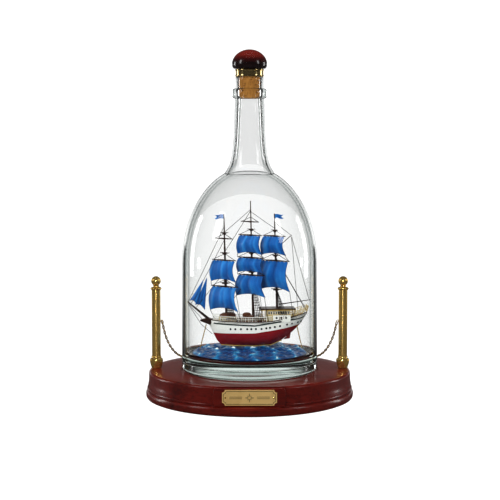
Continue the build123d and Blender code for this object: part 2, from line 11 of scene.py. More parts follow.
import bmesh
import bpy
import numpy as np
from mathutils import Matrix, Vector

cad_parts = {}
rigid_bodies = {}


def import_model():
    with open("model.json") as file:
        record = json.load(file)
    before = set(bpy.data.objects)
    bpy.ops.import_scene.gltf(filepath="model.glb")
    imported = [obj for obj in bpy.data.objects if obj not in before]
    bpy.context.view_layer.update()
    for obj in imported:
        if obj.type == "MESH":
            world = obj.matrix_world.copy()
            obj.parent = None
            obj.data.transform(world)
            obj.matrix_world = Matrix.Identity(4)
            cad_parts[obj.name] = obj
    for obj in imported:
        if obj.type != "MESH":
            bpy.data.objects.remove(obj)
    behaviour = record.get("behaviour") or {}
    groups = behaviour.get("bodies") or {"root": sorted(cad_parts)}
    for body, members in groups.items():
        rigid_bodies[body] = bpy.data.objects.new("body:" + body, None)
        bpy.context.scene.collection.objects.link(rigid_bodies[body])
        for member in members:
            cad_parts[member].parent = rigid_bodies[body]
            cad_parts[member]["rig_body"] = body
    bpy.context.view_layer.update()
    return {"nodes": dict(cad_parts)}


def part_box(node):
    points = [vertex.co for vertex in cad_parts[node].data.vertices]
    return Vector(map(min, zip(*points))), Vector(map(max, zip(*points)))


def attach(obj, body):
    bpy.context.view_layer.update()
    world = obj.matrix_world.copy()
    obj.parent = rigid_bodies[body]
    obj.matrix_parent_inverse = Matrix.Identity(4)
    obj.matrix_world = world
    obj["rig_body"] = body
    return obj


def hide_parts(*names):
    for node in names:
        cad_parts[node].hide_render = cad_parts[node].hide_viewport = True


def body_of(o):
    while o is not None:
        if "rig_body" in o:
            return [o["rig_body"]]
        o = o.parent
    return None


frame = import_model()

MM = 0.001

# %% [markdown]
# Everything is worked out in millimetres and stored in metres. A part's place comes from the box
# of its CAD node, so that a change in the CAD moves the visible piece too.

# %% Places
def low_high(node):
    """A CAD node's two opposite corners, in millimetres."""
    return [np.array(corner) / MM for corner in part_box(node)]


PLINTH_TOP = low_high("plinth")[1][2]
GLASS_LOW, GLASS_HIGH = low_high("bottle_glass")
YAW = radians(5.0)


def afloat(points):
    """Ship coordinates (aft, starboard, height over the plinth) turned to the ship's heading."""
    p = np.asarray(points, float)
    x = p[..., 0] * cos(YAW) - p[..., 1] * sin(YAW)
    y = p[..., 0] * sin(YAW) + p[..., 1] * cos(YAW)
    return np.stack([x, y, p[..., 2] + PLINTH_TOP], axis=-1)


print("plinth top", PLINTH_TOP, "mouth of the bottle", GLASS_HIGH[2])

# %% [markdown]
# The camera stands level with the upper part of the bottle and looks down by five degrees. Its long
# lens keeps upright lines upright. It is made first, before any of the pieces.

# %% Camera
camera = bpy.data.objects.new("camera", bpy.data.cameras.new("camera"))
bpy.context.scene.collection.objects.link(camera)
camera.data.lens = 95.8
camera.data.sensor_width = 36.0
camera.location = (0.0004, -1.224, 0.2440)
camera.rotation_euler = (radians(90 - 5.0), 0, 0)
bpy.context.scene.camera = camera
print("camera lens", camera.data.lens)

# %% [markdown]
# Three ways of making a mesh cover nearly all of this object: a grid of points joined by quads, a
# profile turned about an upright axis, and a round bar between two points. Each is worked out as
# whole arrays, with no loop over vertices. The first helper hands a finished mesh to the CAD body
# that it moves with, and names the CAD parts that it stands for.

# %% Pieces and grids
def add_piece(name, points, faces, body, slot, material, stands_for=(), sharp=32):
    """Make a mesh object from points in millimetres and hand it to its body. The slot argument is not used.
    """
    mesh = bpy.data.meshes.new(name)
    mesh.from_pydata((np.asarray(points).reshape(-1, 3) * MM).tolist(), [], faces)
    skin = bmesh.new()
    skin.from_mesh(mesh)
    bmesh.ops.recalc_face_normals(skin, faces=skin.faces)
    skin.to_mesh(mesh)
    skin.free()
    mesh.shade_smooth()
    mesh.set_sharp_from_angle(angle=radians(sharp))
    mesh.materials.append(material)
    piece = bpy.data.objects.new(name, mesh)
    bpy.context.scene.collection.objects.link(piece)
    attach(piece, body)
    if stands_for:
        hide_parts(*stands_for)
    return piece


def quads(rows, cols, closed=False, first=0):
    """Faces of a grid whose points are counted row by row; closed joins the last column to the first."""
    index = np.arange(rows * cols).reshape(rows, cols) + first
    if closed:
        index = np.concatenate([index, index[:, :1]], axis=1)
    corners = index[:-1, :-1], index[:-1, 1:], index[1:, 1:], index[1:, :-1]
    return np.stack(corners, axis=-1).reshape(-1, 4).tolist()


print("a grid of 3 by 4 points has", len(quads(3, 4)), "faces")

# %% [markdown]
# A turned part could be made with the Screw or Spin tool. Working the rings out directly keeps the
# number of points known, and leaves one clean point at each pole.

# %% Turned shapes
def lathe(profile, around=96, centre=(0.0, 0.0)):
    """A profile of (radius, height) that starts and ends on the axis, turned about that axis:
    x = radius times cosine, y = radius times sine, with one point at each pole."""
    rings = np.asarray(profile[1:-1], float)
    angle = np.linspace(0, 2 * pi, around, endpoint=False)
    x = centre[0] + np.outer(rings[:, 0], np.cos(angle))
    y = centre[1] + np.outer(rings[:, 0], np.sin(angle))
    z = np.repeat(rings[:, 1:], around, axis=1)
    points = np.stack([x, y, z], axis=-1).reshape(-1, 3)
    poles = [[*centre, profile[0][1]], [*centre, profile[-1][1]]]
    near = np.arange(around)
    after = np.roll(near, -1)
    last = (len(rings) - 1) * around
    bottom = np.stack([np.full(around, len(points)), after, near], axis=1)
    top = np.stack([np.full(around, len(points) + 1), near + last, after + last], axis=1)
    faces = quads(len(rings), around, closed=True) + bottom.tolist() + top.tolist()
    return np.concatenate([points, poles]), faces


print("a small cone has", len(lathe([(0, 0), (1, 0), (0, 1)], 8)[1]), "faces")

# %% [markdown]
# An outline is put together from straight runs, arcs and flowing curves. Each of these gives an
# array of points, so a profile is only a list of such pieces, read from one end to the other.

# %% Outlines
def arc(centre, radii, start, end, count=10):
    """Points of an ellipse's arc, from one angle to another in degrees."""
    a = np.radians(np.linspace(start, end, count))
    return np.stack([centre[0] + radii[0] * np.cos(a), centre[1] + radii[1] * np.sin(a)], axis=1)


def run(start, end, count=2):
    """Evenly spaced points of a straight run."""
    return np.linspace(start, end, count)


def flowing(points, count=24):
    """A smooth curve through a few points, by Hermite pieces with slopes from the neighbours."""
    p = np.asarray(points, float)
    slope = np.gradient(p, axis=0)
    t = np.linspace(0, len(p) - 1, count)
    i = np.minimum(t.astype(int), len(p) - 2)
    f = (t - i)[:, None]
    return (p[i] * (2 * f**3 - 3 * f**2 + 1) + slope[i] * (f**3 - 2 * f**2 + f)
            + p[i + 1] * (3 * f**2 - 2 * f**3) + slope[i + 1] * (f**3 - f**2))


def eased(points, count=60):
    """A run through a few points with every kink averaged away: the straight runs between them
    are sampled finely and smoothed by a cosine-shaped window, with the two ends left in place."""
    p = np.asarray(points, float)
    reach = np.concatenate([[0], np.cumsum(np.linalg.norm(np.diff(p, axis=0), axis=1))])
    at = np.linspace(0, reach[-1], 400)
    line = np.stack([np.interp(at, reach, p[:, k]) for k in range(2)], axis=1)
    window = np.hanning(95)
    window /= window.sum()
    before = 2 * line[0] - line[47:0:-1]
    after = 2 * line[-1] - line[-2:-49:-1]
    padded = np.concatenate([before, line, after])
    smooth = np.stack([np.convolve(padded[:, k], window, "valid") for k in range(2)], axis=1)
    return smooth[np.linspace(0, 399, count).astype(int)]


def joined(*parts):
    """Profile parts end to end, without the points that two of them share."""
    line = np.concatenate(parts)
    apart = np.linalg.norm(np.diff(line, axis=0), axis=1) > 1e-4
    return line[np.concatenate([[True], apart])]


print("points of a quarter circle", len(arc((0, 0), (1, 1), 0, 90)))

# %% [markdown]
# Rails, spars, ropes and ratlines are round bars, and deck fittings are blocks. Hundreds of them are
# made in one call as one mesh, which is far lighter than hundreds of objects.

# %% Bars and blocks
def bars(starts, ends, thick, thin=None, sides=8):
    """Round tapered bars between pairs of points, closed at both ends, all in one mesh: a ring of
    points at each end lies in the plane square to the bar."""
    a = np.atleast_2d(np.asarray(starts, float))
    b = np.atleast_2d(np.asarray(ends, float))
    d = b - a
    d /= np.linalg.norm(d, axis=1, keepdims=True)
    ref = np.where(np.abs(d[:, 2:]) > 0.9, [[1.0, 0, 0]], [[0, 0, 1.0]])
    side = np.cross(d, ref)
    side /= np.linalg.norm(side, axis=1, keepdims=True)
    up = np.cross(d, side)
    angle = np.linspace(0, 2 * pi, sides, endpoint=False)[:, None]
    ring = side[:, None] * np.cos(angle) + up[:, None] * np.sin(angle)
    r0 = np.broadcast_to(np.asarray(thick, float), len(a))[:, None, None]
    r1 = r0 if thin is None else np.broadcast_to(np.asarray(thin, float), len(a))[:, None, None]
    points = np.stack([a[:, None] + ring * r0, b[:, None] + ring * r1], axis=1)
    base = np.arange(len(a))[:, None] * 2 * sides
    near = np.arange(sides)
    after = np.roll(near, -1)
    walls = np.stack([base + near, base + near + sides, base + after + sides, base + after], axis=-1)
    caps = (base + near).tolist() + (base + sides + near[::-1]).tolist()
    return points.reshape(-1, 3), walls.reshape(-1, 4).tolist() + caps


def boxes(lows, highs):
    """Plain blocks from their opposite corners, all in one mesh, with faces outward."""
    low = np.atleast_2d(np.asarray(lows, float))
    high = np.atleast_2d(np.asarray(highs, float))
    pick = np.array([[i, j, k] for i in (0, 1) for j in (0, 1) for k in (0, 1)], float)
    points = low[:, None] + pick * (high - low)[:, None]
    sides = np.array([[0, 1, 3, 2], [4, 6, 7, 5], [0, 4, 5, 1], [2, 3, 7, 6], [0, 2, 6, 4], [1, 5, 7, 3]])
    faces = sides[None] + 8 * np.arange(len(low))[:, None, None]
    return points.reshape(-1, 3), faces.reshape(-1, 4).tolist()


def together(*meshes):
    """Several (points, faces) pairs as one."""
    points = []
    faces = []
    count = 0
    for p, f in meshes:
        points.append(np.asarray(p).reshape(-1, 3))
        faces += [[i + count for i in face] for face in f]
        count += len(points[-1])
    return np.concatenate(points), faces


def soften(piece, width, segments=2):
    """Round a piece's edges by a small bevel."""
    bevel = piece.modifiers.new("soft_edges", "BEVEL")
    bevel.width = width * MM
    bevel.segments = segments
    bevel.limit_method = "ANGLE"
    return piece


print("helpers ready")

# %% [markdown]
# A material is a small sum. The class below wraps one socket of a node, so that noise * 0.5 + 0.2
# adds the Math nodes by itself. Colours are mixed by Mix nodes, because Math turns a colour grey.

# %% Shader sums
class Wire:
    """One output of a node, with arithmetic."""

    def __init__(self, tree, socket):
        self.tree = tree
        self.socket = socket

    def sum(self, operation, a, b, clamp=False):
        """One Math node. Each of its two values is a number or another socket."""
        node = self.tree.nodes.new("ShaderNodeMath")
        node.operation = operation
        node.use_clamp = clamp
        for value, target in ((a, node.inputs[0]), (b, node.inputs[1])):
            if isinstance(value, Wire):
                self.tree.links.new(value.socket, target)
            else:
                target.default_value = value
        return Wire(self.tree, node.outputs[0])

    def __add__(self, other):
        return self.sum("ADD", self, other)

    def __mul__(self, other):
        return self.sum("MULTIPLY", self, other)

    def __sub__(self, other):
        return self.sum("SUBTRACT", self, other)

    def __rsub__(self, other):
        return self.sum("SUBTRACT", other, self)

    __radd__ = __add__
    __rmul__ = __mul__

    def fraction(self):
        """What is left over past the last whole number."""
        return self.sum("FRACT", self, 0.0)

    def held(self):
        """The value, kept between 0 and 1."""
        return self.sum("ADD", self, 0.0, clamp=True)


print("a socket can be added, multiplied and subtracted")

# %% [markdown]
# A finish is one Principled shader and short names for the textures that feed it. Patterns read
# object coordinates, or a number stored at each point where they have to follow the surface.

# %% A finish
class Finish:
    """A material with one Principled shader, and short ways to add nodes to it."""

    def __init__(self, name, **values):
        self.material = bpy.data.materials.new(name)
        self.material.use_nodes = True
        self.tree = self.material.node_tree
        self.shader = self.tree.nodes["Principled BSDF"]
        self.place = Wire(self.tree, self.node("ShaderNodeTexCoord").outputs["Object"])
        for key, value in values.items():
            self.put(key.replace("_", " "), value)

    def node(self, kind, settings=(), inputs=()):
        """A node of any type: its settings are set first, then its sockets' values or links."""
        node = self.tree.nodes.new(kind)
        for key, value in dict(settings).items():
            if key == "stops":
                while len(node.color_ramp.elements) < len(value):
                    node.color_ramp.elements.new(0.5)
                for element, (at, colour) in zip(node.color_ramp.elements, value):
                    element.position = at
                    element.color = (*colour, 1.0)
            else:
                setattr(node, key, value)
        for key, value in dict(inputs).items():
            self.join(value, node.inputs[key])
        return node

    def join(self, value, socket):
        """Link a socket to a socket, or set a number or colour on it."""
        if isinstance(value, Wire):
            self.tree.links.new(value.socket, socket)
        else:
            socket.default_value = (*value, 1.0) if socket.type == "RGBA" and len(value) == 3 else value

    def put(self, socket, value):
        """Feed one of the Principled shader's inputs."""
        self.join(value, self.shader.inputs[socket])

    def stretched(self, x, y, z, turn=(0, 0, 0)):
        """Object coordinates scaled by a different amount along each axis."""
        node = self.node("ShaderNodeMapping", {}, {
            "Vector": self.place, "Scale": (x, y, z), "Rotation": turn})
        return Wire(self.tree, node.outputs[0])

    def noise(self, scale, detail=3.0, rough=0.5, warp=0.0, where=None):
        """Cloudy noise from 0 to 1. A scale of 1000 has features about a millimetre wide."""
        node = self.node("ShaderNodeTexNoise", {}, {
            "Vector": where or self.place, "Scale": scale, "Detail": detail, "Roughness": rough,
            "Distortion": warp})
        return Wire(self.tree, node.outputs["Fac"])

    def cells(self, scale, feature="F1", where=None):
        """Distance to the nearest of many scattered points."""
        node = self.node("ShaderNodeTexVoronoi", {"feature": feature}, {
            "Vector": where or self.place, "Scale": scale})
        return Wire(self.tree, node.outputs["Distance"])

    def height(self):
        """The object coordinate along Z, in metres over the floor."""
        return Wire(self.tree, self.node("ShaderNodeSeparateXYZ", {}, {"Vector": self.place}).outputs["Z"])

    def attribute(self, name):
        """A number that is stored at the mesh's points."""
        return Wire(self.tree, self.node("ShaderNodeAttribute", {"attribute_name": name}).outputs["Fac"])

    def ramp(self, amount, *stops):
        """Colours along a number: stops are (place, colour)."""
        node = self.node("ShaderNodeValToRGB", {"stops": stops}, {"Fac": amount})
        return Wire(self.tree, node.outputs["Color"])

    def step(self, amount, low, high):
        """0 below low, 1 above high, smooth between."""
        node = self.node("ShaderNodeMapRange", {"interpolation_type": "SMOOTHSTEP"}, {
            "Value": amount, "From Min": low, "From Max": high})
        return Wire(self.tree, node.outputs[0])

    def mix(self, share, a, b):
        """From colour a to colour b."""
        node = self.node("ShaderNodeMix", {"data_type": "RGBA"}, {0: share, 6: a, 7: b})
        return Wire(self.tree, node.outputs[2])

    def bump(self, height, strength, distance):
        """Small relief, with its depth in millimetres."""
        node = self.node("ShaderNodeBump", {}, {
            "Height": height, "Strength": strength, "Distance": distance * MM})
        self.put("Normal", Wire(self.tree, node.outputs[0]))


print("shader sums ready")

# %% [markdown]
# Mahogany: fine dark pores run along the grain, over broad bands of lighter and darker red, all
# under a French polish. The pattern is stretched along X, as in one board turned on a lathe.

# %% Woods
def polished_wood(name, dark, light, pore, gloss, coat, grain=1.0):
    """Stained wood under polish: bands, streaks and pores stretched along the grain."""
    wood = Finish(name, Metallic=0.0)
    wood.put("Coat Weight", coat)
    wood.shader.inputs["Coat Roughness"].default_value = 0.16
    bands = wood.noise(28 * grain, 3, 0.55, 0.6, wood.stretched(0.22, 1.0, 1.0))
    streaks = wood.noise(330 * grain, 4, 0.6, 0.2, wood.stretched(0.06, 1.0, 1.0))
    pores = wood.step(wood.noise(900 * grain, 2, 0.5, 0.0, wood.stretched(0.05, 1.0, 1.0)), 0.60, 0.72)
    tone = wood.ramp((bands * 0.65 + streaks * 0.45).held(), (0.32, dark), (0.55, light), (0.78, dark))
    wood.put("Base Color", wood.mix(pores * 0.7, tone, pore))
    wood.put("Roughness", (wood.noise(55, 2) * 0.06 + (gloss - 0.03) + pores * 0.05).held())
    wood.bump(streaks * 0.5 - pores, 0.006, 0.01)
    return wood.material


mahogany = polished_wood("mahogany", (0.026, 0.0012, 0.0009), (0.120, 0.0075, 0.0036),
                         (0.010, 0.0008, 0.0006), 0.30, 0.45)


print("polished wood", mahogany.name)

# %% [markdown]
# The knob is red wood under thick lacquer. Its tone is a ramp over object Z: nearly black at the
# foot, which is painted shade, and red above, which is painted light on the upper dome.

# %% Knob lacquer
def shaded_knob_lacquer():
    """Lacquer over red wood with painted shade and light: nearly black low down and red above, by height."""
    lacquer = Finish("oxblood_lacquer")
    height = lacquer.height()
    # Painted shade and light: dark at the foot of the knob, red towards its top.
    rise = lacquer.step(height, 0.3065, 0.3170)
    grain = lacquer.noise(300, 3, 0.6, 0.2, lacquer.stretched(0.1, 1, 1))
    tone = lacquer.ramp((rise * 0.75 + grain * 0.35 - 0.08).held(), (0.10, (0.004, 0.0006, 0.0007)),
                        (0.45, (0.030, 0.0022, 0.002)), (0.80, (0.115, 0.010, 0.006)))
    lacquer.put("Base Color", tone)
    lacquer.put("Roughness", (grain * 0.06 + 0.22).held())
    lacquer.put("Coat Weight", 1.0)
    return lacquer.material


oxblood = shaded_knob_lacquer()
spar_wood = polished_wood("spar_wood", (0.009, 0.003, 0.002), (0.028, 0.0095, 0.005),
                          (0.005, 0.002, 0.0015), 0.42, 0.1, 4.0)
boat_wood = polished_wood("boat_wood", (0.040, 0.013, 0.006), (0.110, 0.038, 0.016),
                          (0.012, 0.005, 0.003), 0.35, 0.3, 4.0)
print("woods", mahogany.name, oxblood.name, spar_wood.name, boat_wood.name)

# %% [markdown]
# Brass: a metal whose colour is its reflection. Fine handling marks change its roughness and its
# relief, and a slow noise darkens it in places, as age does. How worn it is scales all of them: the
# posts and the collar are polished, the chain is old, and the plate is brushed.

# %% Metals
def metal(name, bright, dull, rough, brushed=None, share=1.0, worn=1.0):
    """Aged metal: slow tarnish in the colour, fine marks in roughness and relief, optional brushing."""
    finish = Finish(name, Metallic=share)
    tarnish = finish.step(finish.noise(95, 4, 0.6), 0.42, 0.72)
    finish.put("Base Color", finish.mix(tarnish * (0.6 * worn), bright, dull))
    lines = finish.noise(1500, 2, 0.5, 0.0, finish.stretched(*(brushed or (1, 1, 0.04))))
    marks = finish.noise(240, 3) * (0.12 * worn) + lines * (0.14 * worn)
    finish.put("Roughness", (marks + (rough - 0.1 * worn)).held())
    finish.bump(lines, 0.10 * worn, 0.03)
    return finish.material


brass = metal("antique_brass", (0.80, 0.54, 0.18), (0.36, 0.21, 0.06), 0.20, share=0.92, worn=0.3)
pale_brass = metal("pale_brass", (0.90, 0.70, 0.34), (0.50, 0.34, 0.13), 0.14, share=1.0, worn=0.2)
chain_brass = metal("chain_brass", (0.30, 0.175, 0.040), (0.035, 0.020, 0.007), 0.28, share=0.75)
plate_brass = metal("satin_plate", (0.86, 0.60, 0.25), (0.70, 0.47, 0.18), 0.42, (0.02, 1, 1), 0.45)
print("metals", brass.name, pale_brass.name, chain_brass.name, plate_brass.name)

# %% [markdown]
# Paint is brushed enamel. A noise picks out thin places, where the coat below shows, and another
# moves the gloss a little. One function serves the hull, the houses and the engraving's filler.

# %% Paints
def paint(name, colour, worn, rough, scale=160.0):
    """Brushed enamel: thin places show the coat below, and the gloss wanders."""
    finish = Finish(name)
    thin = finish.step(finish.noise(scale, 4, 0.65), 0.52, 0.80)
    finish.put("Base Color", finish.mix(thin * 0.55, colour, worn))
    finish.put("Roughness", (finish.noise(scale * 2, 3) * 0.2 + (rough - 0.1)).held())
    finish.bump(finish.noise(scale * 6, 2), 0.15, 0.05)
    return finish.material


hull_red = paint("hull_red", (0.135, 0.006, 0.008), (0.060, 0.003, 0.004), 0.32)
hull_white = paint("hull_white", (0.80, 0.79, 0.74), (0.50, 0.46, 0.37), 0.38)
wale_paint = paint("wale_paint", (0.012, 0.022, 0.020), (0.04, 0.04, 0.03), 0.35)
gilding = paint("gilding", (0.46, 0.30, 0.085), (0.16, 0.085, 0.025), 0.36, 420)
cabin_cream = paint("cabin_cream", (0.62, 0.50, 0.27), (0.32, 0.20, 0.07), 0.45, 420)
window_dark = paint("window_dark", (0.010, 0.012, 0.014), (0.03, 0.03, 0.03), 0.15, 500)
engraved = paint("engraved_fill", (0.020, 0.013, 0.007), (0.05, 0.03, 0.015), 0.5, 600)

# %% [markdown]
# Felt, cork and thread have no gloss. Cork is a light ground with dark pits of many sizes, and the
# pits are real dents, so they go to the bump as well.

# %% Felt, cork and thread
def felt_finish():
    """Green felt: a fine noise in the colour and in the bump."""
    felt = Finish("felt", Roughness=0.95)
    fibres = felt.noise(1400, 4, 0.7)
    felt.put("Base Color", felt.ramp(fibres, (0.3, (0.012, 0.035, 0.022)), (0.7, (0.035, 0.085, 0.055))))
    felt.bump(fibres, 0.5, 0.2)
    return felt.material


def cork_finish():
    """Cells of cork from two noises, and pits where a Voronoi distance is small."""
    cork = Finish("cork")
    fine = cork.noise(900, 4, 0.7)
    broad = cork.noise(210, 3, 0.6, 0.4)
    pits = 1 - cork.step(cork.cells(260, where=cork.stretched(1, 1, 2.2)), 0.10, 0.30)
    specks = cork.step(cork.noise(620, 3, 0.8), 0.60, 0.70)
    ground = cork.ramp((fine * 0.5 + broad * 0.5).held(), (0.30, (0.29, 0.115, 0.022)),
                       (0.52, (0.54, 0.245, 0.055)), (0.74, (0.70, 0.38, 0.115)))
    cork.put("Base Color", cork.mix((pits * 0.8 + specks * 0.6).held(), ground, (0.07, 0.022, 0.006)))
    cork.put("Roughness", (0.86 - specks * 0.1).held())
    cork.bump(fine - pits - specks, 0.6, 0.25)
    return cork.material


def thread_finish(name, light, dark):
    """Twisted thread: a noise squeezed along the line's slant."""
    thread = Finish(name, Roughness=0.8)
    twist = thread.noise(2200, 2, 0.5, 0.0, thread.stretched(1, 1, 0.5, (0.6, 0.6, 0)))
    thread.put("Base Color", thread.ramp(twist, (0.35, dark), (0.65, light)))
    thread.bump(twist, 0.4, 0.05)
    return thread.material


felt_green = felt_finish()
cork_tan = cork_finish()
tarred_thread = thread_finish("tarred_thread", (0.016, 0.011, 0.008), (0.005, 0.0035, 0.0025))
gold_thread = thread_finish("gold_thread", (0.42, 0.27, 0.075), (0.16, 0.09, 0.02))
pale_thread = thread_finish("pale_thread", (0.45, 0.34, 0.20), (0.20, 0.14, 0.07))

# %% [markdown]
# Glass is one closed wall with air inside, so light bends twice at each side of it. Seen edge on,
# the wall turns light away and looks dark: that rim and a line inside it are painted shade, put
# into the glass's colour by a Layer Weight from every side. The thick bottom goes green by absorption,
# which grows with the way through the glass. Bands of dark and light cross that bottom on a real one.
# Three rings of painted shade stand for them here.

# %% Glass
def painted_edge_shade(glass):
    """Painted shade by the angle of view: a clear view passes white. Towards the outline a dark line,
    a pale gap and the dark edge are painted into the colour, closer together in the wall than in the neck."""
    edge = Wire(glass.tree, glass.node("ShaderNodeLayerWeight", {}, {"Blend": 0.5}).outputs["Facing"])
    clear, grey, black = (1.0, 1.0, 1.0), (0.26, 0.29, 0.28), (0.02, 0.03, 0.027)
    line, gap = (0.42, 0.46, 0.45), (0.93, 0.95, 0.94)
    # Painted shade: the dark rim and inner lines go into the glass's colour by the angle of view.
    wall = glass.ramp(edge, (0.0, clear), (0.60, (0.97, 0.98, 0.975)), (0.655, line), (0.690, line),
                      (0.73, gap), (0.84, (0.80, 0.84, 0.83)), (0.91, black))
    neck = glass.ramp(edge, (0.0, clear), (0.38, clear), (0.44, grey), (0.56, grey),
                      (0.63, (0.90, 0.92, 0.91)), (0.74, (0.86, 0.88, 0.87)), (0.84, black))
    return glass.mix(glass.step(glass.height(), 0.200, 0.222), wall, neck)


def painted_heel_shade(glass):
    """Three rings of painted shade round the thick bottom, by height: 0 to 1 runs from 20 mm to 45 mm."""
    clear, dark, faint = (1.0, 1.0, 1.0), (0.16, 0.21, 0.19), (0.42, 0.48, 0.46)
    # Painted shade: dark rings in the glass's colour, in place of the bands that bent light makes in a thick
    # bottom.
    return glass.ramp(((glass.height() - 0.020) * 40.0).held(), (0.24, clear), (0.285, dark), (0.33, clear),
                      (0.47, clear), (0.51, faint), (0.55, clear), (0.70, clear),
                      (0.745, dark), (0.78, dark), (0.82, clear))


def clear_glass():
    """Clear glass that is faintly green in thick places, with painted shade at its edges and round its
    bottom, and lets shadow rays through.
    """
    glass = Finish("clear_glass", Roughness=0.0, IOR=1.5)
    glass.shader.inputs["Transmission Weight"].default_value = 1.0
    both = glass.node("ShaderNodeMix", {"data_type": "RGBA", "blend_type": "MULTIPLY"},
                      {0: 1.0, 6: painted_edge_shade(glass), 7: painted_heel_shade(glass)})
    glass.put("Base Color", Wire(glass.tree, both.outputs[2]))
    absorb = glass.node("ShaderNodeVolumeAbsorption", {}, {"Color": (0.60, 0.74, 0.69), "Density": 8.0})
    path = glass.node("ShaderNodeLightPath")
    open_way = glass.node("ShaderNodeBsdfTransparent", {}, {"Color": (0.95, 0.97, 0.96)})
    swap = glass.node("ShaderNodeMixShader")
    out = glass.tree.nodes["Material Output"]
    glass.tree.links.new(path.outputs["Is Shadow Ray"], swap.inputs[0])
    glass.tree.links.new(glass.shader.outputs[0], swap.inputs[1])
    glass.tree.links.new(open_way.outputs[0], swap.inputs[2])
    glass.tree.links.new(swap.outputs[0], out.inputs["Surface"])
    glass.tree.links.new(absorb.outputs[0], out.inputs["Volume"])
    return glass.material


bottle_clear = clear_glass()
print("materials", len(bpy.data.materials))

# %% [markdown]
# ## The stand
# The plinth is one turned piece: a bead at the foot, a groove, a side that flares a little, and a
# rounded upper edge. A profile on a lathe is the natural way. Points in front of the flat that was
# cut for the name panel are pushed back onto that flat.

# %% Plinth
def plinth_mesh():
    """The turned outline from the foot's bead up to the seat, with its front cut flat."""
    low, high = low_high("plinth")
    lip = high[0]
    drum = 93.3
    top = high[2]
    edge = 2.4
    seat = GLASS_LOW[2]
    profile = joined(
        [(0.0, low[2])], run((60, low[2]), (lip - 1.2, low[2])),
        flowing([(lip - 1.2, low[2]), (lip - 0.25, 2.4), (lip, 4.6), (lip - 0.3, 6.6), (lip - 1.1, 8.0)], 14),
        run((lip - 1.9, 8.5), (lip - 1.9, 9.3)),
        flowing([(lip - 1.35, 9.6), (lip - 1.1, 10.1), (lip - 1.4, 10.7)], 6),
        run((lip - 1.75, 10.8), (lip - 1.75, 11.2)),
        flowing([(lip - 1.8, 11.2), (94.0, 13.6), (93.5, 16.6), (drum, 20.0)], 14),
        arc((drum - edge, top - edge), (edge, edge), 0, 90, 9),
        run((80, top), (64.4, top)), arc((64.0, top - 0.5), (0.5, 0.5), 90, 180, 4),
        run((63.5, seat), (30, seat)), [(0.0, seat)],
    )
    points, faces = lathe(profile, 192)
    flat = -88.3
    cut = (points[:, 2] > 8.6) & (points[:, 1] < flat)
    points[cut, 1] = flat
    return points, faces


plinth = add_piece("turned_plinth", *plinth_mesh(), "stand", "mahogany", mahogany, ["plinth"])
print("plinth faces", len(plinth.data.polygons))

# %% [markdown]
# The name panel and the felt keep their CAD shapes, which are right as they are, and only get
# their finishes. The plate keeps its CAD shape too, and carries an engraved border and a compass star.

# %% Panel, felt and plate
def give(node, material):
    """Put a finish on a CAD node that stays visible."""
    for holder in frame["nodes"][node].material_slots:
        holder.material = material


give("name_panel", mahogany)
give("base_felt", felt_green)
give("plaque", plate_brass)
give("chain_eyes", brass)

PLATE_LOW, PLATE_HIGH = low_high("plaque")
PLATE_Z = (PLATE_LOW[2] + PLATE_HIGH[2]) / 2


print("plate", np.round(PLATE_HIGH - PLATE_LOW, 2))

# %% [markdown]
# The plate's engraving is filled with dark enamel that stands a tenth of a millimetre proud. A line
# is swept along an outline as a strip with a flat section. The ornament is a border, a compass
# star and four plain lines.

# %% Engraved lines
def plate_line(points, width, closed, proud=0.10):
    """A flat raised line on the plate's face: two offset rows of the same outline."""
    p = np.asarray(points, float)
    ahead = np.roll(p, -1, axis=0) - np.roll(p, 1, axis=0)
    if not closed:
        ahead[0] = p[1] - p[0]
        ahead[-1] = p[-1] - p[-2]
    ahead /= np.linalg.norm(ahead, axis=1, keepdims=True)
    out = np.stack([-ahead[:, 1], ahead[:, 0]], axis=1) * width / 2
    face = PLATE_LOW[1] - proud
    back = PLATE_LOW[1] + 0.1
    rows = [(p - out, back), (p - out, face), (p + out, face), (p + out, back)]
    grid = [np.stack([q[:, 0], np.full(len(q), y), q[:, 1] + PLATE_Z], axis=1) for q, y in rows]
    if closed:
        faces = [f[::-1] for f in quads(4, len(p), closed=True)]
        faces += [[i, (i + 1) % len(p), 3 * len(p) + (i + 1) % len(p), 3 * len(p) + i] for i in range(len(p))]
    else:
        n = len(p)
        faces = [f[::-1] for f in quads(4, n)]
        faces += [[i, i + 1, 3 * n + i + 1, 3 * n + i] for i in range(n - 1)]
        faces += [[0, n, 2 * n, 3 * n], [n - 1, 4 * n - 1, 3 * n - 1, 2 * n - 1]]
    return np.concatenate(grid), faces


def plate_border():
    """The plate's outline drawn again, 1.2 mm further in, with its four bitten corners."""
    half_w = (PLATE_HIGH[0] - PLATE_LOW[0]) / 2 - 1.2
    half_h = (PLATE_HIGH[2] - PLATE_LOW[2]) / 2 - 1.2
    bite = 2.3
    corners = [arc((x * half_w, z * half_h), (bite, bite), start, start - 90, 7)
               for x, z, start in ((1, 1, 270), (-1, 1, 0), (-1, -1, 90), (1, -1, 180))]
    return plate_line(np.concatenate(corners), 0.35, True)


star_angle = np.linspace(0, 2 * pi, 17)[:-1]
star_reach = np.where(np.arange(16) % 4 == 0, 4.0, np.where(np.arange(16) % 2 == 0, 2.6, 1.2))
star_points = np.stack([star_reach * np.cos(star_angle), star_reach * np.sin(star_angle)], axis=1)
star = plate_line(star_points, 0.42, True)
add_piece("plate_border", *plate_border(), "stand", "plaque_brass", engraved)
bands = [plate_line(hand * np.array([[6.5, y], [17.5, y]]), 0.3, False)
         for hand in (-1, 1) for y in (-0.7, 0.7)]
add_piece("plate_ornament", *together(*bands, star), "stand", "plaque_brass", engraved)


print("engraved lines", len(bands) + 2)

# %% [markdown]
# Two small domed pins hold the plate. Each is a lathe profile laid on its side.

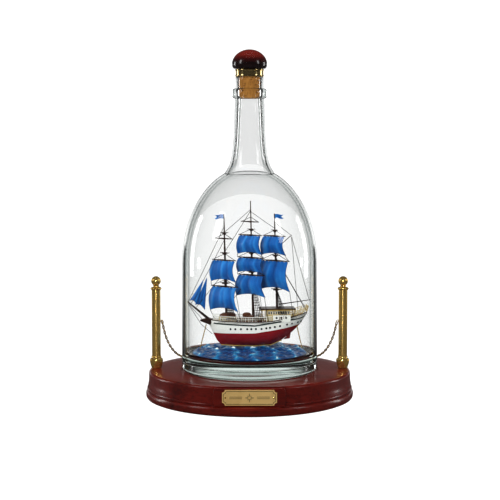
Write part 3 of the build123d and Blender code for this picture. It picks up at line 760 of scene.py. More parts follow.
# %% Plate pins
def pin_mesh(x):
    """A round pin head: a shallow dome, turned to face forward."""
    head = joined([(0, -0.3)], run((0.6, -0.3), (0.78, -0.3)), arc((0, 0.05), (0.78, 0.42), 0, 90, 6),
                  [(0, 0.47)])
    points, faces = lathe(head, 20)
    return np.stack([points[:, 0] + x, PLATE_LOW[1] - points[:, 2], points[:, 1] + PLATE_Z], axis=1), faces


add_piece("plate_pins", *together(pin_mesh(-21.0), pin_mesh(21.0)), "stand", "brass", brass, ["plaque_pins"])
print("pins 2")

# %% [markdown]
# The posts are turned brass: a cup-shaped foot, a plain shaft, a ring under the neck, and a ball.
# Both posts share one profile, placed by the boxes of their CAD nodes.

# %% Posts
def post_profile(base, top):
    """Foot, shaft and ring as (radius, height)."""
    ring = top - 3.0
    return joined(
        [(0, base - 7.5)], run((1.9, base - 7.5), (1.9, base)), run((4.2, base + 0.02), (4.4, base + 0.1)),
        flowing([(4.4, base + 0.1), (5.0, base + 1.8), (5.8, base + 4.4), (6.15, base + 7.0),
                 (6.0, base + 8.3)], 14),
        flowing([(6.0, base + 8.3), (5.2, base + 9.0), (4.5, base + 9.5), (4.35, base + 10.2)], 8),
        flowing([(4.7, base + 10.4), (4.8, base + 10.8), (4.6, base + 11.2)], 5),
        run((4.1, base + 11.4), (4.1, ring - 1.5), 6),
        flowing([(4.1, ring - 1.5), (4.7, ring - 1.1), (5.1, ring - 0.4), (5.1, ring + 0.3),
                 (4.5, ring + 0.9)], 12),
        flowing([(4.0, ring + 1.0), (3.0, ring + 1.5), (2.6, ring + 2.2), (2.7, ring + 3.0)], 8),
        [(0, ring + 3.0)],
    )


def ball_profile(low, high):
    """A ball with a short flat foot where it meets the neck."""
    centre = high - 4.5
    start = np.degrees(np.arcsin((low - centre) / 4.5))
    return joined([(0, low)], arc((0, centre), (4.5, 4.5), start, 90, 20)[:-1], [(0, high)])


for side in ("left", "right"):
    low, high = low_high(side + "_post")
    middle = tuple((low + high)[:2] / 2)
    profile = post_profile(PLINTH_TOP, high[2])
    add_piece(side + "_turned_post", *lathe(profile, 64, middle), "stand", "brass", brass, [side + "_post"])
    ball_low, ball_high = low_high(side + "_finial")
    ball = lathe(ball_profile(ball_low[2], ball_high[2]), 48, middle)
    add_piece(side + "_ball", *ball, "stand", "brass", brass, [side + "_finial"])
print("posts at", middle)

# %% [markdown]
# The chain hangs from both posts and lies round the back of the bottle. Its route is one smooth
# NURBS line with a few points. Links are set along it at an even spacing, each a quarter turn from
# the last, so that neighbours interlock.

# %% Chain route
LIES = PLINTH_TOP + 0.95
CHAIN_ROUTE = [
    (-81.6, 10.3, 68.4), (-80.4, 13.6, 60.6), (-78.2, 18.4, 51.0), (-74.4, 25.4, 41.4), (-68.6, 34.2, 33.2),
    (-60.0, 44.6, 28.4), (-49.0, 55.2, LIES), (-35.2, 65.4, LIES), (-18.4, 71.4, LIES), (-1.0, 74.8, LIES),
    (16.6, 73.4, LIES), (33.4, 67.6, LIES), (48.0, 58.4, LIES), (59.2, 47.2, 28.0), (67.8, 36.2, 32.6),
    (74.0, 26.6, 41.0), (78.0, 19.0, 51.2), (80.3, 13.8, 60.8), (81.6, 10.3, 68.4),
]


def smooth_line(name, route):
    """Points of a NURBS line with the route's points as its control points, in millimetres."""
    curve = bpy.data.curves.new(name, "CURVE")
    curve.dimensions = "3D"
    spline = curve.splines.new("NURBS")
    spline.points.add(len(route) - 1)
    flat = np.concatenate([np.asarray(route) * MM, np.ones((len(route), 1))], axis=1)
    spline.points.foreach_set("co", flat.ravel())
    spline.order_u = 3
    spline.use_endpoint_u = True
    spline.resolution_u = 12
    holder = bpy.data.objects.new(name, curve)
    mesh = bpy.data.meshes.new_from_object(holder)
    line = np.zeros(len(mesh.vertices) * 3)
    mesh.vertices.foreach_get("co", line)
    bpy.data.meshes.remove(mesh)
    bpy.data.objects.remove(holder)
    return line.reshape(-1, 3) / MM


def evenly(line, step):
    """The line's points again at one spacing, with the direction at each."""
    along = np.concatenate([[0], np.cumsum(np.linalg.norm(np.diff(line, axis=0), axis=1))])
    at = np.arange(0, along[-1], step)
    points = np.stack([np.interp(at, along, line[:, k]) for k in range(3)], axis=1)
    ahead = np.gradient(points, axis=0)
    return points, ahead / np.linalg.norm(ahead, axis=1, keepdims=True)


print("route points", len(CHAIN_ROUTE))

# %% [markdown]
# A link is a stadium: two half circles and two straights, with round wire carried along them. It
# has seventy faces, because there are nearly ninety links.

# %% One link
def link_shape(pitch, width, wire, around=14, section=5):
    """One link along X: a stadium-shaped centre line with a round wire carried along it."""
    a = np.linspace(0, 2 * pi, around, endpoint=False)
    radius = (width - wire) / 2
    straight = (pitch + wire) / 2 - radius
    centre = np.stack([radius * np.cos(a) + straight * np.sign(np.cos(a)), radius * np.sin(a), 0 * a], axis=1)
    outward = np.stack([np.cos(a), np.sin(a), 0 * a], axis=1)
    b = np.linspace(0, 2 * pi, section, endpoint=False)
    ring = outward[:, None] * np.cos(b)[:, None] + np.array([0, 0, 1.0]) * np.sin(b)[:, None]
    points = centre[:, None] + ring * wire / 2
    index = np.arange(around * section).reshape(around, section)
    index = np.concatenate([index, index[:1]])
    index = np.concatenate([index, index[:, :1]], axis=1)
    faces = np.stack([index[:-1, :-1], index[1:, :-1], index[1:, 1:], index[:-1, 1:]], axis=-1)
    return points.reshape(-1, 3), faces.reshape(-1, 4)


print("faces in a link", len(link_shape(2.9, 2.5, 0.92)[1]))

# %% [markdown]
# The links are copied to every place at once by one product of arrays, not by an Array modifier,
# so that each can be turned a quarter from the last. The chain's length is worked out and printed.

# %% Link chain
def chain_mesh(line, pitch=2.9, width=2.5, wire=0.92):
    """Links at an even spacing, turned one eighth left and right of upright in turn."""
    places, ahead = evenly(line, pitch)
    side = np.cross(ahead, [0, 0, 1.0])
    side /= np.linalg.norm(side, axis=1, keepdims=True)
    up = np.cross(side, ahead)
    turn = np.where(np.arange(len(places)) % 2 == 0, pi / 4, -pi / 4)[:, None]
    across = side * np.cos(turn) + up * np.sin(turn)
    proud = np.cross(ahead, across)
    shape, faces = link_shape(pitch, width, wire)
    axes = np.stack([ahead, across, proud], axis=1)
    points = places[:, None] + np.einsum("pk,nkc->npc", shape, axes)
    every = faces[None] + len(shape) * np.arange(len(places))[:, None, None]
    return points.reshape(-1, 3), every.reshape(-1, 4).tolist()


chain_line = smooth_line("chain_route", CHAIN_ROUTE)
chain = add_piece("link_chain", *chain_mesh(chain_line), "stand", "chain_brass", chain_brass, ["chain"],
                  sharp=80)
chain_long = float(np.linalg.norm(np.diff(chain_line, axis=0), axis=1).sum()) * MM
print("chain", round(chain_long, 3), "m,", len(chain.data.polygons), "faces")

# %% [markdown]
# ## The bottle
# One closed profile runs from under the bottom, out and up the wall past a shallow groove, over the
# dome and the neck, round the lip and down the inside. Turned about its axis it gives a wall with
# air inside. The neck's long runs are eased, because a kink in clear glass shows as a wavy line.

# %% Bottle
def bottle_profile(low, top):
    """The glass wall's section as (radius, height), from the outer bottom to the inner floor."""
    r = 62.6
    r_in = 59.9
    shoulder = 125.0
    crease = np.degrees(np.arccos(23.0 / r))
    crease_in = np.degrees(np.arccos(20.0 / r_in))
    outside = [
        [(0.0, low + 2.6)], flowing([(8, low + 2.5), (28, low + 1.9), (44, low + 0.9), (54, low)], 12),
        run((54, low), (57.5, low), 3), arc((57.5, low + 5.1), (5.1, 5.1), -90, 0, 12),
        run((r, low + 5.1), (r, low + 8.6), 3), arc((r, low + 9.4), (0.55, 0.8), -90, -270, 8),
        run((r, low + 10.2), (r, shoulder), 10), arc((0, shoulder), (r, 89.0), 0, crease, 44),
        eased([(23.0, 207.8), (18.7, 214.4), (16.3, 223.6), (14.8, 238), (14.0, 257), (13.6, 275.9)], 64),
        arc((13.7, 280.4), (2.6, 4.5), -90, 90, 18),
        run((12.8, 285.2), (12.8, top - 1.0), 3), arc((11.8, top - 1.0), (1.0, 1.0), 0, 90, 5),
        arc((10.6, top - 0.75), (0.75, 0.75), 90, 180, 5),
    ]
    inside = [
        run((9.85, top - 0.75), (9.85, 272.0), 3),
        eased([(9.85, 272.0), (10.4, 263), (11.0, 250), (11.8, 236), (13.4, 222.5), (16.2, 213.4),
               (20.0, 206.6)], 64),
        arc((0, shoulder), (r_in, 86.6), crease_in, 0, 44),
        run((r_in, shoulder), (r_in, 45.5), 10), arc((53.9, 45.5), (6.0, 6.0), 0, -90, 12),
        run((53.9, 39.5), (20, 39.5), 3), [(0.0, 39.5)],
    ]
    return joined(*outside, *inside)


bottle_mesh = lathe(bottle_profile(GLASS_LOW[2], GLASS_HIGH[2]), 288)
bottle = add_piece("blown_bottle", *bottle_mesh, "bottle", "bottle_glass", bottle_clear, ["bottle_glass"],
                   sharp=40)
print("bottle faces", len(bottle.data.polygons))

# %% [markdown]
# The stopper has three pieces: the cork, which tapers a little towards its foot, a turned brass
# collar with a bead, and the knob, a low dome of lacquered wood.

# %% Stopper
def cork_profile():
    """A rounded foot, a short taper and a plain shank."""
    low, high = low_high("cork")
    z, top = low[2], high[2]
    return joined([(0, z)], run((8.0, z), (8.5, z)), arc((8.5, z + 0.7), (0.7, 0.7), -90, 0, 5),
                  run((9.2, z + 0.8), (9.8, z + 6.0), 5), run((9.8, z + 6), (9.8, top), 6), [(0, top)])


def collar_profile():
    """A bead at the foot, a plain band and a bead at the top."""
    low, high = low_high("stopper_collar")
    z, top = low[2], high[2]
    return joined([(0, z)], run((12.4, z), (12.9, z)), arc((12.9, z + 0.5), (0.45, 0.5), -90, 90, 8),
                  run((12.85, z + 1.2), (12.85, top - 1.5), 5),
                  arc((12.9, top - 0.75), (0.45, 0.6), -90, 90, 8),
                  run((12.8, top), (12.0, top)), [(0, top)])


def knob_profile():
    """A rounded lower edge under a low dome, which is a quarter of an ellipse."""
    low, high = low_high("stopper_knob")
    z, top = low[2], high[2]
    rise = top - z - 4.1
    return joined([(0, z)], run((13.2, z), (13.6, z)),
                  flowing([(13.6, z), (14.7, z + 0.6), (15.6, z + 1.7), (16.15, z + 3.2),
                           (16.2, z + 4.1)], 14),
                  arc((0, z + 4.1), (16.2, rise), 0, 88, 34), [(0, top)])


add_piece("bar_top_cork", *lathe(cork_profile(), 72), "stopper", "cork", cork_tan, ["cork"])
add_piece("turned_collar", *lathe(collar_profile(), 96), "stopper", "brass", pale_brass, ["stopper_collar"])
add_piece("lacquered_knob", *lathe(knob_profile(), 128), "stopper", "oxblood_wood", oxblood, ["stopper_knob"])
print("stopper done")

# %% [markdown]
# ## The sea
# The sea is coloured resin, combed into crests before it set. The height is a sum of sharp-crested
# waves in several directions, bent by one another. Foam is where the crests are highest, and a
# wash of foam runs along the hull.

# %% Wave heights
def waves(x, y):
    """Crests from one minus the size of a sine, in five directions, each bent by slow sines."""
    bend_x = x + 3.0 * np.sin(y / 9.0 + 0.7) + 1.4 * np.sin(y / 3.7 + x / 6.0)
    bend_y = y + 2.6 * np.sin(x / 8.0 + 1.9) + 1.2 * np.sin(x / 3.1 - y / 5.0)
    height = np.zeros_like(x)
    for turn, length, tall, shift in ((0.2, 17.0, 1.0, 0.3), (1.1, 11.5, 0.62, 2.1), (2.2, 7.6, 0.42, 4.0),
                                      (2.9, 4.9, 0.24, 1.2), (0.7, 3.1, 0.13, 5.1)):
        phase = (bend_x * cos(turn) + bend_y * sin(turn)) * pi / length + shift
        height = height + tall * (1 - np.abs(np.sin(phase))) ** 1.6
    return height


print("crest heights", np.round(waves(np.array([0.0, 9.0]), np.array([0.0, 5.0])), 2))

# %% [markdown]
# The sea is a round disc, so its grid is polar: rings and spokes. The rings lie closer near the rim,
# where the bottle's wall shows the edge. Two more rings close it underneath.

# %% Sea mesh
def sea_mesh(rings=130, around=320):
    """A polar grid: a low dome with waves, rounded off at the rim and flat underneath."""
    radius = 53.2 * np.linspace(0.012, 1, rings) ** 0.85
    angle = np.linspace(0, 2 * pi, around, endpoint=False)
    x = np.outer(radius, np.cos(angle))
    y = np.outer(radius, np.sin(angle))
    dome = np.interp(radius, [0, 22, 40, 51, 53.4], [47.2, 46.6, 45.4, 44.2, 43.0])[:, None]
    calm = np.clip((53.4 - radius) / 5.0, 0.15, 1)[:, None]
    crest = waves(x, y)
    ship_x = x * cos(YAW) + y * sin(YAW)
    ship_y = -x * sin(YAW) + y * cos(YAW)
    away = np.hypot(np.maximum(np.abs(ship_x + 1) - 28, 0), ship_y)
    wash = np.exp(-((away - 9.5) / 3.0) ** 2)
    z = dome + crest * 1.7 * calm - 1.6 + wash * 0.8
    top = np.stack([x, y, z], axis=-1)
    floor_z = low_high("sea")[0][2] + 0.05
    rim = top[-1:] * [1, 1, 0] + [0, 0, floor_z + 1.2]
    foot = top[-1:] * [0.975, 0.975, 0] + [0, 0, floor_z]
    grid = np.concatenate([top, rim, foot])[::-1]
    middle = [[0, 0, floor_z], [0, 0, float(z[0].mean())]]
    points = np.concatenate([grid.reshape(-1, 3), middle])
    count = len(grid)
    near = np.arange(around)
    after = np.roll(near, -1)
    last = (count - 1) * around
    low_fan = np.stack([np.full(around, count * around), after, near], axis=1).tolist()
    top_fan = np.stack([np.full(around, count * around + 1), near + last, after + last], axis=1).tolist()
    foam = np.clip((crest - 1.25) / 0.75, 0, 1) + 0.8 * wash * np.clip((crest - 0.75) / 0.8, 0, 1)
    amount = np.concatenate([foam, np.zeros((2, around))])[::-1].ravel()
    level = np.concatenate([crest, np.zeros((2, around))])[::-1].ravel()
    return points, quads(count, around, closed=True) + low_fan + top_fan, amount, level

# %% [markdown]
# Foam and depth are numbers stored at each point, so that the colour follows the crests exactly. A
# ramp takes the depth from dark blue to cyan, and foam is mixed over it in white.

# %% Sea resin
def attribute(piece, name, values):
    """Store one number at each point of a mesh."""
    layer = piece.data.attributes.new(name, "FLOAT", "POINT")
    layer.data.foreach_set("value", np.resize(np.asarray(values, float), len(piece.data.vertices)))


def resin_finish():
    """Deep blue in the hollows, cyan on the slopes, white on the crests, under clear gloss."""
    resin = Finish("sea_resin", IOR=1.5)
    foam = resin.attribute("foam")
    level = resin.attribute("level")
    fleck = resin.noise(700, 4, 0.7)
    streak = resin.noise(260, 4, 0.65, 1.2)
    water = resin.ramp((level * 0.45 + streak * 0.35 - 0.05).held(),
                       (0.10, (0.002, 0.014, 0.050)), (0.42, (0.003, 0.048, 0.16)),
                       (0.70, (0.012, 0.155, 0.34)), (0.95, (0.14, 0.46, 0.62)))
    white = resin.step(foam * 0.75 + streak * 0.6 + fleck * 0.4, 0.80, 1.10)
    resin.put("Base Color", resin.mix(white, water, (0.86, 0.90, 0.90)))
    resin.put("Roughness", (white * 0.4 + 0.30 + fleck * 0.05).held())
    resin.put("Coat Weight", (0.15 - white * 0.1).held())
    resin.bump(streak * 0.6 + fleck * 0.3 + white * 0.4, 0.5, 0.6)
    return resin.material


sea_points, sea_faces, foam_share, wave_level = sea_mesh()
sea = add_piece("resin_waves", sea_points, sea_faces, "bottle", "resin_sea", resin_finish(), ["sea"],
                sharp=180)
attribute(sea, "foam", np.append(foam_share, [0, 0]))
attribute(sea, "level", np.append(wave_level, [0, 1]))
print("sea faces", len(sea.data.polygons))

# %% [markdown]
# ## The ship
# The hull is drawn from four curves along its length: keel, sheer, breadth and how full the
# section is. Each station's half breadth grows from the keel to the sheer by a power law. The
# bottom and the topsides are two pieces that meet at the painted waterline.

# %% Hull curves
KEEL = [(-39.6, 46.4), (-33.9, 34.8), (-30.2, 27.4), (-26.6, 23.6), (-15, 22.6), (5, 21.9), (20, 22.8),
        (30, 27.0), (38, 33.0), (44, 38.4), (48, 42.6), (53, 50.4)]
SHEER = [(-39.6, 47.6), (-30, 46.6), (-10, 45.5), (10, 45.2), (20, 46.0), (36, 48.6), (46, 51.4),
         (53, 53.8)]
BEAM = [(-39.6, 0.9), (-36, 3.4), (-30, 6.6), (-22, 9.0), (-8, 10.8), (8, 11.0), (24, 10.6), (36, 9.6),
        (46, 8.2), (53, 7.0)]
FULL = [(-39.6, 1.5), (-22, 3.2), (0, 5.2), (18, 4.6), (34, 2.4), (53, 1.8)]
WATERLINE = [(-45, 34.8), (4, 34.8), (32, 39.0), (60, 44.6)]
WALE = [(-45, 44.9), (-32.7, 44.0), (4, 41.8), (44.6, 47.8), (60, 52.0)]
PORT_LINE = [(-20, 38.9), (10, 38.9), (22, 40.4), (48, 45.2)]
PORTS = np.array([-18.3, -13.9, -8.9, -3.1, 0.6, 4.9, 10.0, 14.5, 17.9, 22.4, 27.2, 33.7, 38.4, 44.1, 47.3])


def along(table, x):
    """A table's value at x: straight between its entries."""
    at, value = np.array(table, float).T
    return np.interp(x, at, value)


print("keel at the middle", along(KEEL, 0.0), "sheer", along(SHEER, 0.0))

# %% [markdown]
# The sections are whole arrays too: one row for each station, one column for each height. Loops up
# one side and down the other are joined from station to station, as planks are bent over frames.

# %% Hull sections
def half_breadth(x, z):
    """Half the hull's width: full beam times one minus (one minus height share) to a power."""
    low = along(KEEL, x)
    share = np.clip((z - low) / (along(SHEER, x) - low), 0, 1)
    return 0.35 + (along(BEAM, x) - 0.35) * (1 - (1 - share) ** along(FULL, x))


def loft(loops):
    """Closed loops of points, one at each station, joined into a skin with both ends closed."""
    stations, count, _ = loops.shape
    faces = quads(stations, count, closed=True)
    ends = [list(range(count)), list(range(stations * count - 1, (stations - 1) * count - 1, -1))]
    return loops.reshape(-1, 3), faces + ends


def both_sides(x, y, z):
    """A loop at each station: up the starboard side, then down the port side."""
    starboard = np.stack([x, y, z], axis=-1)
    port = np.stack([x, -y, z], axis=-1)[:, ::-1]
    return afloat(np.concatenate([starboard, port], axis=1))


def bottom_loops():
    """Sections from the keel up to the waterline, closer together near the keel."""
    x = np.linspace(-33.6, 47.4, 90)[:, None]
    low = along(KEEL, x)
    z = low + (along(WATERLINE, x) - low) * np.linspace(0, 1, 22) ** 1.4
    return both_sides(x + 0 * z, half_breadth(x, z), z), z


def topside_loops():
    """Outside from the waterline to the sheer, over the rail and down inside to the deck."""
    x = np.linspace(-39.6, 53, 120)[:, None]
    low = np.maximum(along(KEEL, x), along(WATERLINE, x))
    high = along(SHEER, x)
    z = low + (high - low) * np.linspace(0, 1, 18)
    y = half_breadth(x, z)
    inner = np.maximum(y[:, -1:] - 0.8, 0.05)
    y = np.concatenate([y, inner, inner], axis=1)
    z = np.concatenate([z, high, high - 1.6], axis=1)
    return both_sides(x + 0 * z, y, z), z


print("hull stations", bottom_loops()[0].shape[0] + topside_loops()[0].shape[0])

# %% [markdown]
# The planks' seams follow the hull, not the world. Each point keeps its strake number, and the seam
# is where that number is just past a whole one.

# %% Planking
def planked(name, colour, worn, rough):
    """Painted planking: a narrow dark seam at each whole number of the strake attribute."""
    hull = Finish(name)
    strake = hull.attribute("strake")
    seam = 1 - hull.step(strake.fraction(), 0.0, 0.16)
    thin = hull.step(hull.noise(170, 4, 0.7, 0.3, hull.stretched(0.3, 1, 1)), 0.50, 0.80)
    base = hull.mix(thin * 0.5, colour, worn)
    hull.put("Base Color", hull.mix(seam * 0.14, base, (0.03, 0.02, 0.012)))
    hull.put("Roughness", (hull.noise(300, 3) * 0.2 + (rough - 0.1)).held())
    hull.bump(0.0 - seam, 0.2, 0.06)
    return hull.material


red_planks = planked("red_planking", (0.235, 0.008, 0.012), (0.130, 0.004, 0.006), 0.22)
white_planks = planked("white_planking", (0.82, 0.81, 0.77), (0.58, 0.55, 0.47), 0.35)
for name, (loops, z), material, slot, node in (
    ("red_bottom", bottom_loops(), red_planks, "hull_red", "hull_bottom"),
    ("white_topsides", topside_loops(), white_planks, "hull_white", "topsides"),
):
    hull_piece = add_piece(name, *loft(loops), "bottle", slot, material, [node], sharp=50)
    attribute(hull_piece, "strake", np.concatenate([z, z[:, ::-1]], axis=1).ravel() / 1.25)
give("rudder", hull_red)
give("keel", gilding)
give("beakhead", spar_wood)
give("quarter_boards", hull_white)
print("hull faces", len(hull_piece.data.polygons))

# %% [markdown]
# Wales are thicker planks that run the length of the hull. Here each is a strip with six corners
# at every station, a sixth to a third of a millimetre proud. A cap rail covers the top edge of the
# side.

# %% Wales and cap rails
def rib_along(table, half, proud, x, shift=0.0):
    """A closed strip along both sides of the hull, its middle at the table's height."""
    sides = []
    for hand in (-1, 1):
        middle = along(table, x) + shift
        low = half_breadth(x, middle - half)
        high = half_breadth(x, middle + half)
        outs = (low - 0.3, low + proud * 0.7, low + proud, high + proud, high + proud * 0.7, high - 0.3)
        corner_y = np.stack(outs, axis=1)
        corner_z = middle[:, None] + np.array([-1, -1, -0.6, 0.6, 1, 1]) * half
        strip = np.stack([x[:, None] + 0 * corner_y, hand * corner_y, corner_z], axis=-1)
        sides.append(loft(afloat(strip)))
    return together(*sides)


wale_x = np.linspace(-38.5, 52, 110)
rail_x = np.linspace(-39.0, 52.8, 110)
main_wale = rib_along(WALE, 0.66, 0.30, wale_x[wale_x > -34])
cap_rail = rib_along(SHEER, 0.38, 0.36, rail_x, -0.25)
upper_line = rib_along(SHEER, 0.20, 0.16, rail_x[rail_x > -30], -1.45)
add_piece("wale_strips", *together(main_wale, upper_line), "bottle", "wale_black", wale_paint, ["wales"])
add_piece("cap_rails", *cap_rail, "bottle", "dark_wood", spar_wood)


print("wales and rails", 3)

# %% [markdown]
# A port is a dark glass disc in a slightly wider rim. Both are short bars that stand on the hull's
# own surface, so they follow its curve.

# %% Port rims and lights
def hull_discs(x, z, radius, proud, sides=20):
    """Short round bars standing on the hull's side, with the hull's own breadth at each place."""
    y = half_breadth(x, z)
    discs = []
    for hand in (-1, 1):
        start = afloat(np.stack([x, hand * (y - 0.8), z], axis=1))
        end = afloat(np.stack([x, hand * (y + proud), z], axis=1))
        discs.append(bars(start, end, radius, sides=sides))
    return together(*discs)


def house_discs(hand, radius, proud):
    """The same discs on the quarter boards, three to a side."""
    start, end = ([[x, hand * y, 48.9] for x in (24.0, 28.4, 32.8)] for y in (10.2, 10.5 + proud))
    return bars(afloat(start), afloat(end), radius, sides=20)


port_z = along(PORT_LINE, PORTS)
house_rows = [house_discs(hand, *size) for hand in (-1, 1) for size in ((0.95, 0.12), (0.62, 0.2))]
add_piece("port_rims", *together(hull_discs(PORTS, port_z, 0.98, 0.10), house_rows[0], house_rows[2]),
          "bottle", "wale_black", wale_paint)
add_piece("port_lights", *together(hull_discs(PORTS, port_z, 0.76, 0.18), house_rows[1], house_rows[3]),
          "bottle", "wale_black", window_dark, ["portholes"])
print("ports", len(PORTS) * 2)

# %% [markdown]
# The deck is laid in narrow planks. On it stand three deckhouses with windows, two of them with
# mouldings, and upturned clinker boats lie forward. Small parts of one kind are made together in
# one mesh.

# %% Deck
def deck_loops():
    """A thin cambered slab inside the hull: height falls with the square of the way to the side."""
    x = np.linspace(-36, 50, 80)[:, None]
    top = along(SHEER, x) - 1.55
    across_share = np.linspace(-1, 1, 13)
    y = np.maximum(half_breadth(x, top) - 0.7, 0.2) * across_share
    upper = np.stack([x + 0 * y, y, top + 0.25 * (1 - across_share**2) + 0 * y], axis=-1)
    lower = np.stack([x + 0 * y, y, top - 0.5 + 0 * y], axis=-1)[:, ::-1]
    return afloat(np.concatenate([upper, lower], axis=1)), np.concatenate([y, y[:, ::-1]], axis=1)


def seamed_deck():
    """Pale planks with a dark seam at each whole number of the plank attribute."""
    deck = Finish("laid_deck")
    seam = 1 - deck.step(deck.attribute("plank").fraction(), 0.0, 0.2)
    grain = deck.noise(900, 3, 0.6, 0.0, deck.stretched(0.08, 1, 1))
    tone = deck.ramp(grain, (0.3, (0.16, 0.085, 0.04)), (0.7, (0.34, 0.21, 0.11)))
    deck.put("Base Color", deck.mix(seam * 0.8, tone, (0.02, 0.012, 0.008)))
    deck.put("Roughness", (grain * 0.2 + 0.42).held())
    deck.bump(grain * 0.3 - seam, 0.4, 0.1)
    return deck.material


loops, plank_y = deck_loops()
deck = add_piece("laid_deck", *loft(loops), "bottle", "deck_planks", seamed_deck(), ["deck"], sharp=60)
attribute(deck, "plank", plank_y.ravel())


print("deck points", len(deck.data.vertices))

# %% [markdown]
# The fore and aft houses keep their CAD shapes, and the waist house is added here. Windows, frames,
# mouldings and roof posts are thin blocks set on their sides. All the blocks of one kind share a
# mesh.

# %% Houses and windows
def windows(x_list, y_face, low, high, width):
    """Dark panes with a frame round each, on both sides of a house."""
    panes = []
    frames = []
    for x in x_list:
        for hand in (-1, 1):
            y0, y1 = sorted((hand * (y_face - 0.2), hand * (y_face + 0.12)))
            panes.append(([x - width / 2, y0, low], [x + width / 2, y1, high]))
            y0, y1 = sorted((hand * (y_face - 0.2), hand * (y_face + 0.22)))
            edge = 0.18
            frames += [([x - width / 2 - edge, y0, low - edge], [x + width / 2 + edge, y1, low]),
                       ([x - width / 2 - edge, y0, high], [x + width / 2 + edge, y1, high + edge]),
                       ([x - width / 2 - edge, y0, low], [x - width / 2, y1, high]),
                       ([x + width / 2, y0, low], [x + width / 2 + edge, y1, high]),
                       ([x - 0.07, y0, low], [x + 0.07, y1, high])]
    return panes, frames


def afloat_boxes(pairs):
    """Blocks given in ship coordinates, turned to the ship's heading."""
    points, faces = boxes(*zip(*pairs))
    return afloat(points), faces


fore_panes, fore_frames = windows(np.linspace(-26.5, -14.5, 6), 5.4, 46.6, 48.6, 1.3)
aft_panes, aft_frames = windows(np.linspace(17.4, 35.4, 9), 7.2, 52.0, 54.4, 1.35)
pair_ends = [([36.8, y - 0.7, 51.8], [37.1, y + 0.7, 54.2]) for y in np.linspace(-5.4, 5.4, 5)]
mouldings = [([15.2, s * 7.2 - 0.25, z], [37.2, s * 7.2 + 0.25, z + 0.35])
             for s in (-1, 1) for z in (51.2, 55.1)]
mouldings += [([-28.7, s * 5.4 - 0.2, z], [-12.3, s * 5.4 + 0.2, z + 0.3])
              for s in (-1, 1) for z in (45.9, 49.2)]
mouldings += [([9.2, s * 8.6 - 0.2, 55.5], [42.2, s * 8.6 + 0.2, 56.1]) for s in (-1, 1)]
mouldings += [([37.2, -8.4, 49.4], [37.8, 8.4, 50.0]), ([37.2, -8.4, 53.2], [37.8, 8.4, 53.8])]
roof_posts = [([x, s * 8.0 - 0.2, 46.0], [x + 0.4, s * 8.0 + 0.2, 55.6])
              for x in (10.0, 12.6, 38.4, 41.2) for s in (-1, 1)]
waist_house = [([-11.6, -5.2, 43.8], [14.6, 5.2, 48.2]), ([-3.0, -4.0, 48.2], [3.0, 4.0, 50.4])]
soften(add_piece("waist_house", *afloat_boxes(waist_house), "bottle", "cabin_paint", boat_wood), 0.15)
waist_panes, waist_frames = windows(np.linspace(-10.2, 13.2, 10), 5.2, 45.8, 47.6, 1.2)
add_piece("waist_house_frames", *afloat_boxes(waist_frames), "bottle", "cabin_paint", gilding)
add_piece("waist_house_panes", *afloat_boxes(waist_panes), "bottle", "cabin_paint", window_dark)
give("aft_house", cabin_cream)
give("fore_house", cabin_cream)
give("house_roof", spar_wood)
give("mast_tops", spar_wood)
house_panes = afloat_boxes(fore_panes + aft_panes + pair_ends)
add_piece("house_panes", *house_panes, "bottle", "cabin_paint", window_dark)
add_piece("house_frames", *afloat_boxes(fore_frames + aft_frames), "bottle", "cabin_paint", hull_white)
add_piece("house_mouldings", *afloat_boxes(mouldings + roof_posts), "bottle", "gilt", gilding)


print("panes", len(fore_panes) + len(aft_panes))

# %% [markdown]
# Each boat is half an oval, keel up. A saw-tooth in its section gives the lapped strakes of clinker
# planking, so they are real steps and not a bump.

# %% Boats and hatches
def clinker_boat(x, y, long, beam=2.2, tall=3.4, strakes=5):
    """Half a boat, keel up: an oval plan, with the section stepped in as many strakes as asked."""
    u = np.linspace(-0.985, 0.985, 26)[:, None]
    a = np.linspace(0, pi, 4 * strakes + 1)
    lap = 1 + 0.05 * ((a / pi * 2 * strakes) % 1)
    taper = np.sqrt(1 - u**2) ** 0.8
    px = x + u * long / 2 + 0 * a
    py = y + beam * taper * np.cos(a) * lap
    pz = 49.6 + tall * taper**0.6 * np.sin(a) * lap
    return loft(afloat(np.stack([px, py, pz], axis=-1)))


boats = [clinker_boat(-20.6, -2.4, 15.0), clinker_boat(-19.6, 2.4, 14.0), clinker_boat(-2.6, 0.0, 8.0)]
gripes = [bars(afloat([[x, -4.8, 49.6], [x, 0, 53.3]]), afloat([[x, 0, 53.3], [x, 4.8, 49.6]]), 0.14)
          for x in (-24.0, -16.5)]
hatch = [([-9.4, -3.0, 43.8], [-7.0, 3.0, 46.6]), ([-6.0, -2.6, 43.8], [0.6, 2.6, 49.5]),
         ([6.0, -2.8, 43.8], [8.8, 2.8, 46.4])]
add_piece("clinker_boats", *together(*boats), "bottle", "dark_wood", boat_wood, ["deck_boats"], sharp=24)
add_piece("boat_gripes", *together(*gripes), "bottle", "dark_wood", pale_thread)
soften(add_piece("hatches", *afloat_boxes(hatch), "bottle", "dark_wood", boat_wood), 0.2)
print("boats", len(boats), "hatches", len(hatch))

# %% [markdown]
# Open rails run along the waist, and a raised gallery closes the stern. Posts are round bars, with
# a rail through each row. The stern's rail has thin bars crossing it, which read as netting.

# %% Rails
def polyline(points, radius, sides=6):
    """Bars end to end along a line of points."""
    p = np.asarray(points, float)
    return bars(p[:-1], p[1:], radius, sides=sides)


